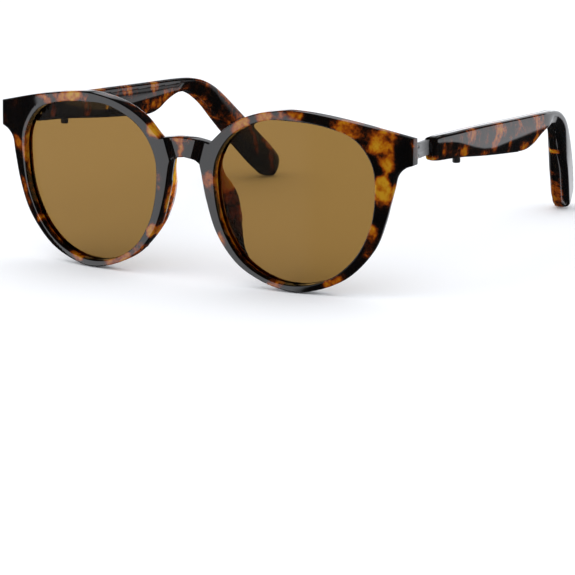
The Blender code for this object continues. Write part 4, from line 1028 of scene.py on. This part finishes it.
def add_world():
    world = bpy.data.worlds.new("studio")
    bpy.context.scene.world = world
    nodes = Nodes(world)
    way = nodes.add("ShaderNodeTexCoord").outputs["Generated"]
    split = nodes.add("ShaderNodeSeparateXYZ", Vector=way).outputs
    azimuth = nodes.maths("ARCTAN2", split[0], nodes.maths("MULTIPLY", split[1], -1.0))
    azimuth = nodes.maths("DEGREES", azimuth)
    elevation = nodes.maths("DEGREES", nodes.maths("ARCSINE", split[2]))
    gloss = soft_box_light(nodes, azimuth, elevation)
    path = nodes.add("ShaderNodeLightPath").outputs["Is Glossy Ray"]
    strength = nodes.add("ShaderNodeMix", data_type="FLOAT", i0=path, i2=AMBIENT, i3=gloss).outputs[0]
    background = nodes.add("ShaderNodeBackground", Color=AMBIENT_COLOUR, Strength=strength)
    out = nodes.add("ShaderNodeOutputWorld")
    nodes.tree.links.new(background.outputs[0], out.inputs["Surface"])


def add_floor():
    """A plain pale floor, just under the glasses so that nothing of them is cut off."""
    mesh = bpy.data.meshes.new("floor")
    corners = [(x * FLOOR_HALF_SIZE, y * FLOOR_HALF_SIZE, FLOOR_LEVEL)
               for x, y in ((-1, -1), (1, -1), (1, 1), (-1, 1))]
    mesh.from_pydata(corners, [], [(0, 1, 2, 3)])
    floor = bpy.data.objects.new("floor", mesh)
    bpy.context.scene.collection.objects.link(floor)
    material = bpy.data.materials.new("floor")
    nodes = Nodes(material)
    tint = nodes.ramp(nodes.noise(3), [(0.3, (0.955, 0.955, 0.955)), (0.7, (0.975, 0.975, 0.975))])
    finish_material(nodes, Base_Color=tint, Roughness=0.9, Specular_IOR_Level=0.0)
    mesh.materials.append(material)
    floor.visible_glossy = False


def add_light(name, at, size, watts):
    """A round area light that shines towards the origin and isn't reflected."""
    light = bpy.data.lights.new(name, "AREA")
    light.shape = "DISK"
    light.size = size
    light.energy = watts
    lamp = bpy.data.objects.new(name, light)
    lamp.location = at
    lamp.rotation_euler = Vector(at).to_track_quat("Z", "Y").to_euler()
    lamp.visible_glossy = False
    bpy.context.scene.collection.objects.link(lamp)


def add_camera():
    forward = (CAMERA_AIM - CAMERA_AT).normalized()
    level = forward.cross(Vector((0, 0, 1))).normalized()
    upright = level.cross(forward)
    right = level * math.cos(CAMERA_ROLL) + upright * math.sin(CAMERA_ROLL)
    up = upright * math.cos(CAMERA_ROLL) - level * math.sin(CAMERA_ROLL)
    turn = Matrix.Rotation(LEAN, 3, "X")
    axes = Matrix([turn @ right, turn @ up, turn @ -forward]).transposed()
    data = bpy.data.cameras.new("camera")
    data.sensor_width = CAMERA_SENSOR
    data.lens = CAMERA_LENS
    data.clip_start, data.clip_end = 0.01, 60.0
    camera = bpy.data.objects.new("camera", data)
    camera.matrix_world = Matrix.Translation(TO_WORLD @ CAMERA_AT) @ axes.to_4x4()
    bpy.context.scene.collection.objects.link(camera)
    bpy.context.scene.camera = camera


def dress_hidden_nodes(frame, looks):
    """Better materials for the CAD nodes that stay, inside the temples."""
    wanted = {"leaf_screw": "metal", "main_board": "board", "bluetooth_chip": "chip", "power_chip": "chip",
              "antenna": "ceramic", "microphone": "can", "tact_switch": "black", "speaker": "driver",
              "battery_flex": "film", "battery": "wrap", "charge_magnet": "nickel"}
    for name, node in frame["nodes"].items():
        kinds = [k for k in wanted if name.startswith(k)]
        if kinds and not node.hide_render:
            look = looks[wanted[max(kinds, key=len)]]
            node.data.materials.clear()
            node.data.materials.append(look)


def main():
    noise.seed_set(NOISE_SEED)
    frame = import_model()
    bpy.context.scene.view_settings.view_transform = "Standard"
    looks = {
        "tortoise": tortoise_material("tortoise_acetate"),
        # The pads' acetate is the front's, lightened: painted light that makes up for the shade behind the rims.
        "pad": tortoise_material("tortoise_pad_lightened", 2.6),
        "lens": lens_material(),
        "metal": plain_material("hinge_steel", (0.36, 0.36, 0.36), 0.42, 0.6, 2500, 0.12, 0.1, (1, 0.12, 1)),
        "black": plain_material("satin_black", (0.012, 0.012, 0.013), 0.32, 0.0, 3000, 0.3, 0.25),
        "gold": plain_material("gold_plate", (0.83, 0.58, 0.22), 0.16, 1.0, 4000, 0.08, 0.08),
        "board": board_material(),
        "chip": plain_material("chip_moulding", (0.02, 0.02, 0.021), 0.5, 0.0, 4000, 0.3, 0.3),
        "ceramic": plain_material("antenna_ceramic", (0.55, 0.55, 0.5), 0.45, 0.0, 3000, 0.1, 0.1),
        "can": plain_material("microphone_can", (0.62, 0.6, 0.55), 0.3, 1.0, 3000, 0.1, 0.1),
        "driver": plain_material("speaker_case", (0.03, 0.03, 0.032), 0.42, 0.0, 2500, 0.3, 0.3),
        "film": plain_material("flex_film", (0.42, 0.17, 0.03), 0.3, 0.0, 2000, 0.2, 0.1, (1, 0.1, 1)),
        "wrap": plain_material("cell_wrap", (0.2, 0.22, 0.26), 0.3, 0.0, 1500, 0.15, 0.15),
        "nickel": plain_material("magnet_nickel", (0.6, 0.59, 0.56), 0.2, 1.0, 3000, 0.08, 0.08),
    }
    add_piece("front_frame_look", front_frame_shape(), looks["tortoise"], "front", "tortoise_front", 1,
              ["front_frame"], front_pattern, sharp=12.5)
    for side_name in SIDES:
        add_look("lens", side_name, lens_shape(), looks["lens"], "front", "brown_tint")
        add_look("nose_pad", side_name, nose_pad_shape(), looks["pad"], "front", "tortoise_front",
                 pattern=pad_pattern)
        add_front_hinge(side_name, looks["metal"])
        add_hinge_screw(side_name, looks["metal"])
        add_temple(side_name, looks)
    dress_hidden_nodes(frame, looks)
    add_world()
    add_floor()
    add_light("key", (-0.5, -0.6, 1.1), 0.9, 2.0)
    add_camera()


main()
